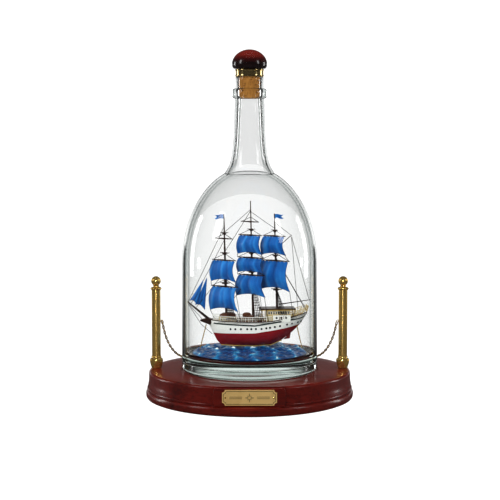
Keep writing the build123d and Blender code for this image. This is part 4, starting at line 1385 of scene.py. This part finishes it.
def waist_rails():
    """Posts that narrow at the middle rail, thin bars between them, and two rails along the side."""
    x = np.linspace(-34.0, 19.5, 34)
    parts = []
    for hand in (-1, 1):
        y = hand * (along(BEAM, x) - 0.4)
        z = along(SHEER, x)
        foot, neck, middle, head = (afloat(np.stack([x, y, z + up], axis=1)) for up in (-0.2, 2.1, 2.2, 4.3))
        parts += [bars(foot[::2], neck[::2], 0.34, 0.20), bars(neck[::2], head[::2], 0.20, 0.30),
                  bars(foot[1::2], head[1::2], 0.12), polyline(middle, 0.18), polyline(head, 0.30)]
    return together(*parts)


def stern_rails():
    """Rails lean aft as they rise; a lattice of thin bars crosses between the lowest and highest."""
    corners = np.array([(37.0, -9.2), (46.0, -8.0), (53.0, -6.6), (53.0, 6.6), (46.0, 8.0), (37.0, 9.2)])
    reach = np.concatenate([[0], np.cumsum(np.linalg.norm(np.diff(corners, axis=0), axis=1))])
    at = np.linspace(0, reach[-1], 49)
    x = np.interp(at, reach, corners[:, 0])
    y = np.interp(at, reach, corners[:, 1])
    z = along(SHEER, x)
    row = {lift: afloat(np.stack([x + lift * 0.3, y, z + lift], axis=1)) for lift in (-0.3, 1.6, 3.4, 5.2)}
    thick = together(*[polyline(row[lift], 0.24) for lift in (1.6, 5.2)], polyline(row[3.4], 0.14),
                     bars(row[-0.3][::6], row[5.2][::6], 0.30))
    lattice = together(bars(row[-0.3][:-2:2], row[5.2][2::2], 0.09, sides=5),
                       bars(row[-0.3][2::2], row[5.2][:-2:2], 0.09, sides=5))
    return thick, lattice


rail_thick, rail_lattice = stern_rails()
add_piece("waist_rails", *waist_rails(), "bottle", "hull_white", hull_white, ["deck_rails"])
add_piece("stern_rails", *rail_thick, "bottle", "gilt", cabin_cream, ["stern_gallery"])
add_piece("stern_lattice", *rail_lattice, "bottle", "gilt", gilding)
print("rails done")

# %% [markdown]
# ## Masts and yards
# A mast is three spars, each stepped ahead of the one below. Iron bands hold it every few
# millimetres. A yard is thickest in the middle. All the yards are braced by the same forty degrees.

# %% Mast geometry
BRACE = radians(40.0)
YARD_AHEAD = 1.75
MASTS = {
    "fore": (-21.3, -23.7, 144.2, (80.4, 108.0, 126.5)),
    "main": (3.6, 0.8, 156.0, (90.6, 108.0, 129.6)),
    "mizzen": (26.2, 23.0, 144.2, (74.0, 105.6, 128.6)),
}
YARDS = {
    "fore_lower_yard": ("fore", 77.6, 15.6), "fore_upper_yard": ("fore", 101.9, 13.8),
    "fore_bare_yard": ("fore", 121.7, 10.4), "main_lower_yard": ("main", 88.0, 15.4),
    "main_middle_yard": ("main", 104.0, 15.2), "main_upper_yard": ("main", 124.7, 13.2),
    "main_bare_yard": ("main", 137.0, 10.0), "mizzen_lower_yard": ("mizzen", 101.1, 16.4),
    "mizzen_upper_yard": ("mizzen", 123.8, 12.6),
}


def mast_at(name, z):
    """A point on a raked mast, in ship coordinates."""
    base, head, top, _ = MASTS[name]
    z = np.asarray(z, float)
    return np.stack([base + (head - base) * (z - 40.0) / (top - 40.0), 0 * z, z], axis=-1)


def from_mast(name, z, reach, ahead):
    """A point measured from a mast along its yards and ahead of it."""
    aft = reach * cos(BRACE) - ahead * sin(BRACE)
    across = -reach * sin(BRACE) - ahead * cos(BRACE)
    return mast_at(name, z) + np.stack([aft, across, 0 * reach], axis=-1)


print("mastheads", [MASTS[name][2] for name in MASTS])

# %% [markdown]
# A spar is a bar that tapers, with a short wider band wherever iron holds it. Cross-trees are the
# timbers that spread the upper shrouds.

# %% Spars
def tapered(start, end, r0, r1, bands=(), sides=16):
    """One spar and its iron bands."""
    parts = [bars(start, end, r0, r1, sides)]
    for share in bands:
        middle = start + (end - start) * share
        step = (end - start) / np.linalg.norm(end - start) * 0.28
        radius = (r0 + (r1 - r0) * share) * 1.14
        parts.append(bars(middle - step, middle + step, radius, sides=sides))
    return together(*parts)


def cross_trees(name, z, reach):
    """A flared collar round the mast, with three thin timbers across it and one along it."""
    base = mast_at(name, z)
    collar = bars(afloat(base - [0, 0, 1.6]), afloat(base + [0, 0, 0.3]), 0.95, 2.1, sides=14)
    timbers = []
    for shift in (-1.2, 0.0, 1.2):
        ends = [from_mast(name, z + 0.5, np.float64(hand * reach), shift) for hand in (-1, 1)]
        timbers.append(bars(afloat(ends[0]), afloat(ends[1]), 0.26, sides=6))
    fore_and_aft = [from_mast(name, z + 0.5, np.float64(0), hand * 2.8) for hand in (-1, 1)]
    return together(collar, *timbers, bars(afloat(fore_and_aft[0]), afloat(fore_and_aft[1]), 0.32, sides=6))


def mast_length(name, low, high, r0, r1, bands=()):
    """One spar of a mast, between two heights."""
    return tapered(afloat(mast_at(name, low)), afloat(mast_at(name, high)), r0, r1, bands)


for name, (_, _, top, (low_top, mid_top, high_top)) in MASTS.items():
    spars = together(
        mast_length(name, 42.5, low_top + 4, 1.15, 0.95, np.linspace(0.25, 0.95, 8)),
        mast_length(name, low_top + 2, mid_top + 6, 1.00, 0.82, (0.02, 0.5, 0.95)),
        mast_length(name, mid_top + 4, top, 0.78, 0.42, (0.02, 0.5)),
        mast_length(name, top - 0.4, top, 0.80, 0.70),
        *[cross_trees(name, z, reach) for z, reach in ((low_top, 5.4), (mid_top, 4.6), (high_top, 3.8))],
    )
    add_piece(name + "_spars", *spars, "bottle", "dark_wood", spar_wood, [name + "_mast"])

for name, (mast, z, half) in YARDS.items():
    middle, right, left = [afloat(from_mast(mast, z, np.float64(s), YARD_AHEAD)) for s in (0, half, -half)]
    thick = 0.46 + half * 0.022
    truss = bars(afloat(mast_at(mast, z)), middle, 0.34, sides=10)
    spar = together(tapered(middle, right, thick, 0.34, (0.0, 0.45, 0.93)),
                    tapered(middle, left, thick, 0.34, (0.45, 0.93)), truss)
    add_piece(name.replace("_yard", "_spar"), *spar, "bottle", "dark_wood", spar_wood, [name])

OTHER_SPARS = {
    "bowsprit": ((-37.0, 0, 46.6), (-57.4, 0, 63.6), 1.35, 0.55),
    "gaff": ((24.6, 0, 112.0), (39.2, 0, 124.4), 0.50, 0.28),
    "boom": ((27.4, 0, 60.2), (57.2, 0, 64.2), 0.55, 0.30),
}
for name, (start, end, r0, r1) in OTHER_SPARS.items():
    add_piece(name + "_spar", *tapered(afloat(start), afloat(end), r0, r1, (0.08, 0.35, 0.62, 0.9)),
              "bottle", "dark_wood", spar_wood, [name])
print("spars", len(MASTS) + len(YARDS) + len(OTHER_SPARS))

# %% [markdown]
# ## Sails
# Each square sail is cloth hung from its yard by short ties and pulled out by its lower corners.
# The grid's height falls from the yard to a foot that arches up. Its belly is deepest just below
# the middle. Creases fan down from the ties, as in cloth that was set wet and stiffened.

# %% Sail cloth
SAILS = {
    "fore_lower_sail": ("fore_lower_yard", 55.0, 13.6, 15.6),
    "fore_upper_sail": ("fore_upper_yard", 82.0, 12.4, 13.8),
    "main_lower_sail": ("main_lower_yard", 68.0, 13.8, 15.8),
    "main_middle_sail": ("main_middle_yard", 90.0, 13.2, 14.2),
    "main_upper_sail": ("main_upper_yard", 107.0, 11.6, 13.4),
    "mizzen_lower_sail": ("mizzen_lower_yard", 73.0, 14.8, 17.0),
    "mizzen_upper_sail": ("mizzen_upper_yard", 106.0, 11.4, 13.0),
}


def sail_finish():
    """Dyed cotton: a fine weave, seams between the cloths, and painted light and shade on the creases: paler
    where they stand forward, darker in their troughs.
    """
    cloth = Finish("blue_cotton", IOR=1.45)
    cloth.shader.inputs["Sheen Weight"].default_value = 0.15
    weave = cloth.noise(2600, 2, 0.5)
    mottle = cloth.noise(60, 2, 0.5)
    fold = cloth.attribute("fold")
    seam = 1 - cloth.step(cloth.attribute("seam").fraction(), 0.0, 0.07)
    # Painted light and shade: paler where a crease stands forward, darker in its trough.
    tone = cloth.ramp((fold * 0.42 + mottle * 0.62 - 0.04).held(), (0.10, (0.001, 0.045, 0.20)),
                      (0.50, (0.004, 0.120, 0.41)), (0.90, (0.045, 0.32, 0.74)))
    cloth.put("Base Color", cloth.mix(seam * 0.35, tone, (0.003, 0.02, 0.12)))
    cloth.put("Roughness", (weave * 0.15 + 0.40).held())
    cloth.bump(weave * 0.4 + seam * 0.5, 0.35, 0.08)
    return cloth.material


blue_cotton = sail_finish()


print("cloth", blue_cotton.name)

# %% [markdown]
# A cloth simulation could hang these sails. A formula gives the same belly and creases every time,
# and keeps the cloth's true width and drop, which the record needs.

# %% Sail shape
def creases(u, v, seed):
    """Folds that grow downwards from the head: three sines across the sail, bent as they fall."""
    pick = np.random.default_rng(seed)
    a, b, c = pick.uniform(0, 2 * pi, 3)
    bent = u * (1 - 0.22 * v) + 0.03 * np.sin(2.2 * v * pi + a)
    return (0.60 * np.sin(bent * 7.5 + a) + 0.40 * np.sin(bent * 13.0 + b + 1.2 * v)
            + 0.22 * np.sin(bent * 23.0 + c))


def square_sail(name, seed, cols=64, rows=60):
    """A sail's grid of points in ship coordinates, and its folds from 0 to 1."""
    yard, foot, head_half, foot_half = SAILS[name]
    mast, z, _ = YARDS[yard]
    u = np.linspace(-1, 1, cols)[None, :]
    v = np.linspace(0, 1, rows)[:, None]
    head = z - 0.45
    drop = head - foot
    fold = creases(u, v, seed)
    half = head_half + (foot_half - head_half) * v
    lean = 1.3 * np.sin(pi * v) * (1 + 0 * u)
    reach = u * half - lean * np.abs(u) ** 1.5 + 0.8 * v**3 * np.clip(u, 0, 1)
    ties = 0.28 * (1 - np.cos(u * 7 * pi)) * np.exp(-v * 14)
    arch = (0.13 * drop) * (1 - u**2) * v**2.2
    height = head - drop * v - ties + arch
    belly = drop * 0.2 * (np.sin(pi * v**0.9) * (1 - 0.45 * u**2) + 0.2 * v)
    ahead = YARD_AHEAD + 0.35 + belly + fold * (0.14 + 0.42 * v**0.8) * (1 - 0.6 * np.abs(u) ** 4)
    base = mast_at(mast, np.float64(z))
    x = base[0] + reach * cos(BRACE) - ahead * sin(BRACE)
    y = -reach * sin(BRACE) - ahead * cos(BRACE)
    return np.stack([x + 0 * v, y + 0 * v, height], axis=-1), fold, drop, half.mean()


def cloth_piece(name, grid, fold, seams, node):
    """A grid of cloth with its fold numbers, which paint its light and shade, and its seam numbers stored,
    given a thickness by Solidify.
    """
    rows, cols = grid.shape[:2]
    piece = add_piece(name, afloat(grid), quads(rows, cols), "bottle", "sail_cloth", blue_cotton, [node],
                      sharp=180)
    attribute(piece, "fold", np.clip(0.5 + 0.42 * fold, 0, 1).ravel())
    attribute(piece, "seam", (np.linspace(0, seams, cols)[None, :] + np.zeros((rows, 1))).ravel())
    thick = piece.modifiers.new("cloth_thickness", "SOLIDIFY")
    thick.thickness = 0.22 * MM
    thick.offset = 0
    return piece
print("sail grid", square_sail("fore_lower_sail", 11)[0].shape)

# %% [markdown]
# The sails are set one by one: cloth, and a bolt rope round its four edges.

# %% Square sails
edges = []
for seed, name in enumerate(SAILS):
    grid, fold, drop, half = square_sail(name, seed + 11)
    piece = cloth_piece(name.replace("_sail", "_cloth"), grid, fold, 7, name)
    yard = SAILS[name][0]
    edges += [afloat(grid[:, 0]), afloat(grid[:, -1]), afloat(grid[-1]), afloat(grid[0])]
bolt_ropes = together(*[polyline(edge[::2], 0.17) for edge in edges])
add_piece("bolt_ropes", *bolt_ropes, "bottle", "rigging", tarred_thread)
print("square sails", len(SAILS))

# %% [markdown]
# The two jibs are three-cornered, and their cloth gathers into pleats that fan out from the head.
# The pennants at the mastheads are stiffened cloth with a swallow's tail.

# %% Jibs and pennants
def jib(corners, y, seed, rows=44, cols=30):
    """Rows from head to foot between the front and back edges, with a foot that curves up. The pleat also
    paints light and shade along the pleats.
    """
    head, tack, clew = np.array(corners, float)
    u = np.linspace(0, 1, cols)[None, :]
    v = np.linspace(0.03, 1, rows)[:, None]
    front = head + (tack - head) * v[..., None]
    back = head + (clew - head) * v[..., None]
    flat = front + (back - front) * u[..., None]
    pleat = np.sin(u * 9.5 + seed) * 0.7 + np.sin(u * 17 + 2 * seed) * 0.35
    rise = 2.4 * v**3 * np.sin(pi * u)
    side = y + pleat * 0.9 * v * np.sin(pi * np.clip(u, 0.06, 0.94)) - 1.2 * np.sin(pi * v) * np.sin(pi * u)
    # The pleat is returned as well, to paint light and shade along the pleats.
    return np.stack([flat[..., 0], side + 0 * v, flat[..., 1] + rise], axis=-1), pleat + 0 * v


JIBS = {
    "outer_jib": ([(-42.6, 84.0), (-55.6, 64.4), (-48.8, 60.6)], -0.6),
    "inner_jib": ([(-39.4, 86.0), (-50.4, 60.6), (-41.4, 55.8)], 0.8),
}
for seed, (name, (corners, y)) in enumerate(JIBS.items()):
    grid, fold = jib(corners, y, seed + 1.0)
    piece = cloth_piece(name.replace("_jib", "_jib_cloth"), grid, fold, 3, name)
    (hx, hz), (tx, tz), (cx, cz) = corners
    area = abs((tx - hx) * (cz - hz) - (tz - hz) * (cx - hx)) / 2
    long = float(np.hypot(tx - hx, tz - hz))
    wide = max(2 * area / long, 10.05)
    round(wide * MM, 5)
    area * MM * MM
    edges = [afloat(grid[:, 0]), afloat(grid[:, -1]), afloat(grid[-1])]
    ropes = together(*[polyline(edge, 0.15) for edge in edges])
    add_piece(name + "_ropes", *ropes, "bottle", "rigging", tarred_thread)


def pennant(mast, direction, tone):
    """A waving strip whose tail is cut in a notch: x runs from the mast, and y waves with x. Its tone scales
    the painted light and shade on the waves.
    """
    top = MASTS[mast][2]
    u = np.linspace(0, 1, 26)[None, :]
    v = np.linspace(-1, 1, 15)[:, None]
    notch = 1 - 0.30 * (1 - np.abs(v))
    x = direction * (0.4 + 8.1 * u * notch)
    y = 0.55 * np.sin(u * 7.0 + 0.5 * v) * u
    z = 2.0 * v * (1 - 0.10 * u) + 0.35 * np.sin(u * 6.0)
    base = mast_at(mast, np.float64(top - 2.6))
    # The second array paints light and shade along the waves, a little ahead of their shape.
    return np.stack([x + base[0], y + 0 * v, z + base[2]], axis=-1), np.sin(u * 7.0 + 0.5 * v + 0.8) * tone


for mast, direction, tone in (("fore", -1, 1.0), ("mizzen", 1, 0.6)):
    grid, fold = pennant(mast, direction, tone)
    cloth_piece(mast + "_pennant", grid, fold, 1, "pennants")
print("jibs", len(JIBS))

# %% [markdown]
# ## Rigging
# Stays hold the masts along the ship. Shrouds hold them from the sides, crossed by ratlines, and
# end at deadeyes on the hull. Lines are thin bars with a slight sag worked into the longer ones.

# %% Stays
STAYS = [
    ((-57.0, 0, 63.2), (-23.3, 0.7, 133.0)), ((-54.5, 0.3, 61.0), (-22.9, 0.9, 121.0)),
    ((-50.0, 0.2, 57.4), (-22.4, 1.0, 92.0)), ((0.9, 0.9, 148.0), (-22.6, 1.0, 127.8)),
    ((0.9, -0.9, 147.0), (-22.6, -1.0, 110.0)), ((1.3, 0.9, 146.0), (22.9, 0.9, 131.0)),
    ((2.6, 1.2, 89.0), (-20.6, 1.5, 58.0)), ((23.6, 0.9, 136.0), (39.0, 0.6, 124.0)),
    ((39.2, 0.6, 123.0), (56.2, 0.4, 64.0)), ((39.0, 0, 123.0), (44.6, -5.0, 56.0)),
    ((24.3, -1.0, 104.0), (52.6, -5.0, 55.6)), ((24.3, 1.0, 104.0), (52.6, 5.0, 55.6)),
    ((-56.6, 0, 61.6), (-45.6, 0, 43.6)), ((-45.6, 0, 43.2), (-34.6, 0.0, 33.4)),
    ((-55.6, 0.8, 60.8), (-40.4, 1.6, 43.0)),
]


def sagging(start, end, share=0.006, count=9):
    """A line that hangs a small share of its length below the straight one."""
    a, b = np.array(start, float), np.array(end, float)
    t = np.linspace(0, 1, count)[:, None]
    line = a + (b - a) * t
    line[:, 2] -= (4 * t * (1 - t))[:, 0] * np.linalg.norm(b - a) * share
    return polyline(afloat(line), 0.25)


sheets_and_lifts = []
for name, (mast, z, half) in YARDS.items():
    for hand in (-1, 1):
        end = from_mast(mast, z, np.float64(hand * half * 0.95), YARD_AHEAD)
        sheets_and_lifts.append((end, mast_at(mast, np.float64(z + half * 0.42))))
for name, (yard, foot, _, foot_half) in SAILS.items():
    mast = YARDS[yard][0]
    below = [(z, half) for m, z, half in YARDS.values() if m == mast and z < foot + 4]
    for hand in (-1, 1):
        corner = from_mast(mast, foot, np.float64(hand * foot_half), YARD_AHEAD + 2.2)
        if below:
            z, half = max(below)
            end = from_mast(mast, z, np.float64(hand * half * 0.97), YARD_AHEAD)
        else:
            side_x = float(corner[0]) + 4
            end = np.array([side_x, -hand * float(along(BEAM, side_x)), float(along(SHEER, side_x))])
        sheets_and_lifts.append((corner, end))
add_piece("stay_lines", *together(*[sagging(a, b) for a, b in STAYS + sheets_and_lifts]), "bottle", "rigging",
          tarred_thread, ["stays"])


print("stays and lifts", len(STAYS) + len(sheets_and_lifts))

# %% [markdown]
# A shroud gang is a fan of lines from the hull's side to the masthead. Ratlines are the rungs that
# a crew climbs. Five lines and seventeen rungs make the net seen against the light.

# %% Shrouds
def with_ratlines(low_ends, high_ends, thick, rungs, rung_thick):
    """A fan of lines, and the rungs that join each line to the next at a few heights."""
    across = low_ends + (high_ends - low_ends) * np.asarray(rungs)[:, None, None]
    starts, ends = across[:, :-1].reshape(-1, 3), across[:, 1:].reshape(-1, 3)
    return [bars(afloat(low_ends), afloat(high_ends), thick, sides=5),
            bars(afloat(starts), afloat(ends), rung_thick, sides=4)]


def shroud_gangs():
    """Lower shrouds with their ratlines and deadeyes, and the topmast shrouds above them."""
    parts = []
    eyes = []
    for name, (base, _, _, (low, mid, _)) in MASTS.items():
        head = mast_at(name, np.float64(low))
        step = mast_at(name, np.float64(mid))
        for hand in (-1, 1):
            k = np.arange(5)
            foot_x = base + 0.6 + 1.9 * k
            foot = np.stack([foot_x, hand * (along(BEAM, foot_x) + 0.5), along(SHEER, foot_x) + 0.4], axis=1)
            top = np.stack([head[0] + 0.25 * k - 0.5, hand * (1.5 + 0.06 * k), 0 * k + low - 0.8], axis=1)
            parts += with_ratlines(foot, top, 0.24, np.linspace(0.07, 0.93, 17), 0.17)
            out = [0, hand * 0.25, 0]
            for lift, radius in ((0.5, 0.42), (1.9, 0.36)):
                middle = foot + [0, 0, lift]
                eyes.append(bars(afloat(middle - out), afloat(middle + out), radius, sides=10))
            k = np.arange(3)
            low_end = np.stack([head[0] + 1.4 * k - 1.4, hand * (0 * k + 3.2), 0 * k + low + 0.6], axis=1)
            high_end = np.stack([step[0] + 0.3 * k - 0.3, hand * (0 * k + 0.9), 0 * k + mid - 0.6], axis=1)
            parts += with_ratlines(low_end, high_end, 0.18, np.linspace(0.15, 0.85, 6), 0.14)
    return together(*parts), together(*eyes)


gangs, deadeyes = shroud_gangs()
add_piece("shroud_lines", *gangs, "bottle", "rigging", tarred_thread, ["shrouds"])
add_piece("deadeyes", *deadeyes, "bottle", "dark_wood", boat_wood)


print("shroud faces", len(gangs[1]))

# %% [markdown]
# The two gilt ropes that tie the ship down are laid from two strands. Each strand is a helix about
# the straight line between its ends, half a turn apart from the other.

# %% Anchor ropes
def twisted(start, end, radius=0.30, turns=9, count=60):
    """Two strands wound round one another: each is a helix about the straight line."""
    a, b = np.array(start, float), np.array(end, float)
    t = np.linspace(0, 1, count)[:, None]
    phase = t * turns * 2 * pi
    strands = []
    for shift in (0, pi):
        wind = np.concatenate([np.cos(phase + shift), np.sin(phase + shift), 0 * t], axis=1) * radius * 0.8
        strands.append(polyline(afloat(a + (b - a) * t + wind), radius))
    return together(*strands)


ropes = together(twisted((-40.2, 0.6, 42.0), (-46.4, -4.0, 19.4)),
                 twisted((43.7, -4.2, 40.5), (47.8, -9.0, 20.6)))
add_piece("anchor_ropes", *ropes, "bottle", "gilt_rope", gold_thread, ["anchor_lines"])
print("anchor ropes 2")

# %% [markdown]
# ## The studio
# A pale floor, a pale room and soft lamps. Polished metal and glass look right only when they have
# something darker to reflect, so the room is dimmer for reflections than for the eye. The light
# path tells them apart by whether a ray has been mirrored, has passed glass or has been scattered.

# %% The room
def room():
    """The world's brightness by what the ray has met: white to the eye, a little less straight
    through glass. Once mirrored it is dim in front and above, and pale low down behind the object.
    Light on matt surfaces gets less than half."""
    world = bpy.data.worlds.new("room")
    bpy.context.scene.world = world
    world.use_nodes = True
    tree = world.node_tree
    path = tree.nodes.new("ShaderNodeLightPath")
    mirrored = Wire(tree, path.outputs["Glossy Depth"]).held()
    scattered = Wire(tree, path.outputs["Diffuse Depth"]).held()
    way = tree.nodes.new("ShaderNodeTexCoord")
    split = tree.nodes.new("ShaderNodeSeparateXYZ")
    tree.links.new(way.outputs["Generated"], split.inputs[0])
    behind = ((Wire(tree, split.outputs["Y"]) - 0.72) * 5.5).held()
    low = 1.0 - ((Wire(tree, split.outputs["Z"]) - 0.06) * 16.0).held()
    through = Wire(tree, path.outputs["Transmission Depth"]).held()
    above = ((Wire(tree, split.outputs["Z"]) - 0.30) * 4.0).held()
    in_mirror = behind * (low * (1 - through) + through) * 0.88 + through * above * 0.22 + 0.04
    straight = 1.0 - through * 0.22
    brightness = (straight * (1 - mirrored) + in_mirror * mirrored) * (1 - scattered) + scattered * 0.40
    background = tree.nodes["Background"]
    tree.links.new(brightness.socket, background.inputs["Strength"])
    background.inputs["Color"].default_value = (1, 1, 1, 1)


print("room ready")

# %% [markdown]
# The floor gives off nearly as much light as the room, so that it meets the room without a line. It
# is plain on purpose.

# %% The floor
def floor():
    """A wide pale floor that is nearly as bright as the room, with a faint shadow left on it."""
    size = 6.0
    mesh = bpy.data.meshes.new("floor")
    corners = [(-size, -size, 0), (size, -size, 0), (size, size, 0), (-size, size, 0)]
    mesh.from_pydata(corners, [], [(0, 1, 2, 3)])
    pale = Finish("pale_floor", Roughness=0.9)
    pale.put("Base Color", (0.06, 0.06, 0.06))
    path = pale.node("ShaderNodeLightPath")
    mirrored = Wire(pale.tree, path.outputs["Glossy Depth"]).held()
    scattered = Wire(pale.tree, path.outputs["Diffuse Depth"]).held()
    straight = 1.0 - Wire(pale.tree, path.outputs["Transmission Depth"]).held() * 0.11
    split = pale.node("ShaderNodeSeparateXYZ", {}, {"Vector": pale.place})
    aside = Wire(pale.tree, split.outputs["X"])
    aside = aside.sum("ABSOLUTE", aside, 0.0)
    behind = ((Wire(pale.tree, split.outputs["Y"]) * 0.52 - aside) * 6.0).held()
    direct = (1 - mirrored) * straight + mirrored * behind * 0.9
    seen = (direct * (1 - scattered) * 0.97 + scattered * 0.25).held()
    pale.put("Emission Color", pale.ramp(seen, (0.0, (0.0, 0.0, 0.0)), (1.0, (1.0, 1.0, 1.0))))
    pale.shader.inputs["Emission Strength"].default_value = 1.0
    mesh.materials.append(pale.material)
    ground = bpy.data.objects.new("floor", mesh)
    bpy.context.scene.collection.objects.link(ground)


print("floor ready")

# %% [markdown]
# Soft boxes left and right give the long lights on the glass. The rims light its edges from behind.
# Fill lamps stay out of reflections. One strip is for the brass and one lamp for the ship alone.

# %% Lamps
def lamp(name, place, aim, size, power, mirrored=True, only=()):
    """A soft rectangular lamp pointed at a place. A fill lamp is kept out of reflections, and a
    lamp can be flagged off from everything but a few pieces."""
    light = bpy.data.lights.new(name, "AREA")
    light.shape = "RECTANGLE"
    light.size, light.size_y = size
    light.energy = power
    holder = bpy.data.objects.new(name, light)
    bpy.context.scene.collection.objects.link(holder)
    holder.location = place
    holder.visible_glossy = mirrored
    holder.visible_transmission = mirrored
    if only:
        lit = bpy.data.collections.new(name + "_lights")
        for piece in only:
            lit.objects.link(piece)
        holder.light_linking.receiver_collection = lit
    turn = np.array(aim) - np.array(place)
    holder.rotation_euler = Vector(turn).to_track_quat("-Z", "Y").to_euler()


room()
floor()
lamp("left_softbox", (-1.00, -0.50, 0.72), (0, 0, 0.17), (0.26, 0.55), 1.3)
lamp("right_softbox", (1.00, -0.62, 0.68), (0, 0, 0.17), (0.20, 0.50), 1.0)
lamp("left_rim", (-1.00, 0.42, 0.26), (0, 0, 0.12), (0.14, 0.60), 1.3)
lamp("right_rim", (1.00, 0.36, 0.26), (0, 0, 0.12), (0.14, 0.60), 1.3)
lamp("front_fill", (-0.30, -1.50, 0.80), (0, 0, 0.12), (0.50, 0.50), 9.0, mirrored=False)
lamp("top_softbox", (0.0, -0.10, 1.10), (0, 0, 0.1), (0.50, 0.35), 5.0, mirrored=False)
brass_names = ("left_turned_post", "right_turned_post", "left_ball", "right_ball", "link_chain", "plate_pins")
brass_pieces = [bpy.data.objects[name] for name in brass_names]
lamp("brass_strip", (-0.16, -1.25, 0.30), (0, 0, 0.07), (0.06, 0.60), 6.0, only=brass_pieces)
ship_pieces = [piece for piece in bpy.data.objects
               if piece.type == "MESH" and body_of(piece) == ["bottle"] and piece is not bottle]
lamp("ship_fill", (-0.45, -1.20, 0.60), (0, 0, 0.12), (0.60, 0.60), 9.0, mirrored=False, only=ship_pieces)
bpy.context.scene.view_settings.view_transform = "Standard"
bpy.context.scene.view_settings.look = "Medium High Contrast"
print("lamps", len(bpy.data.lights))
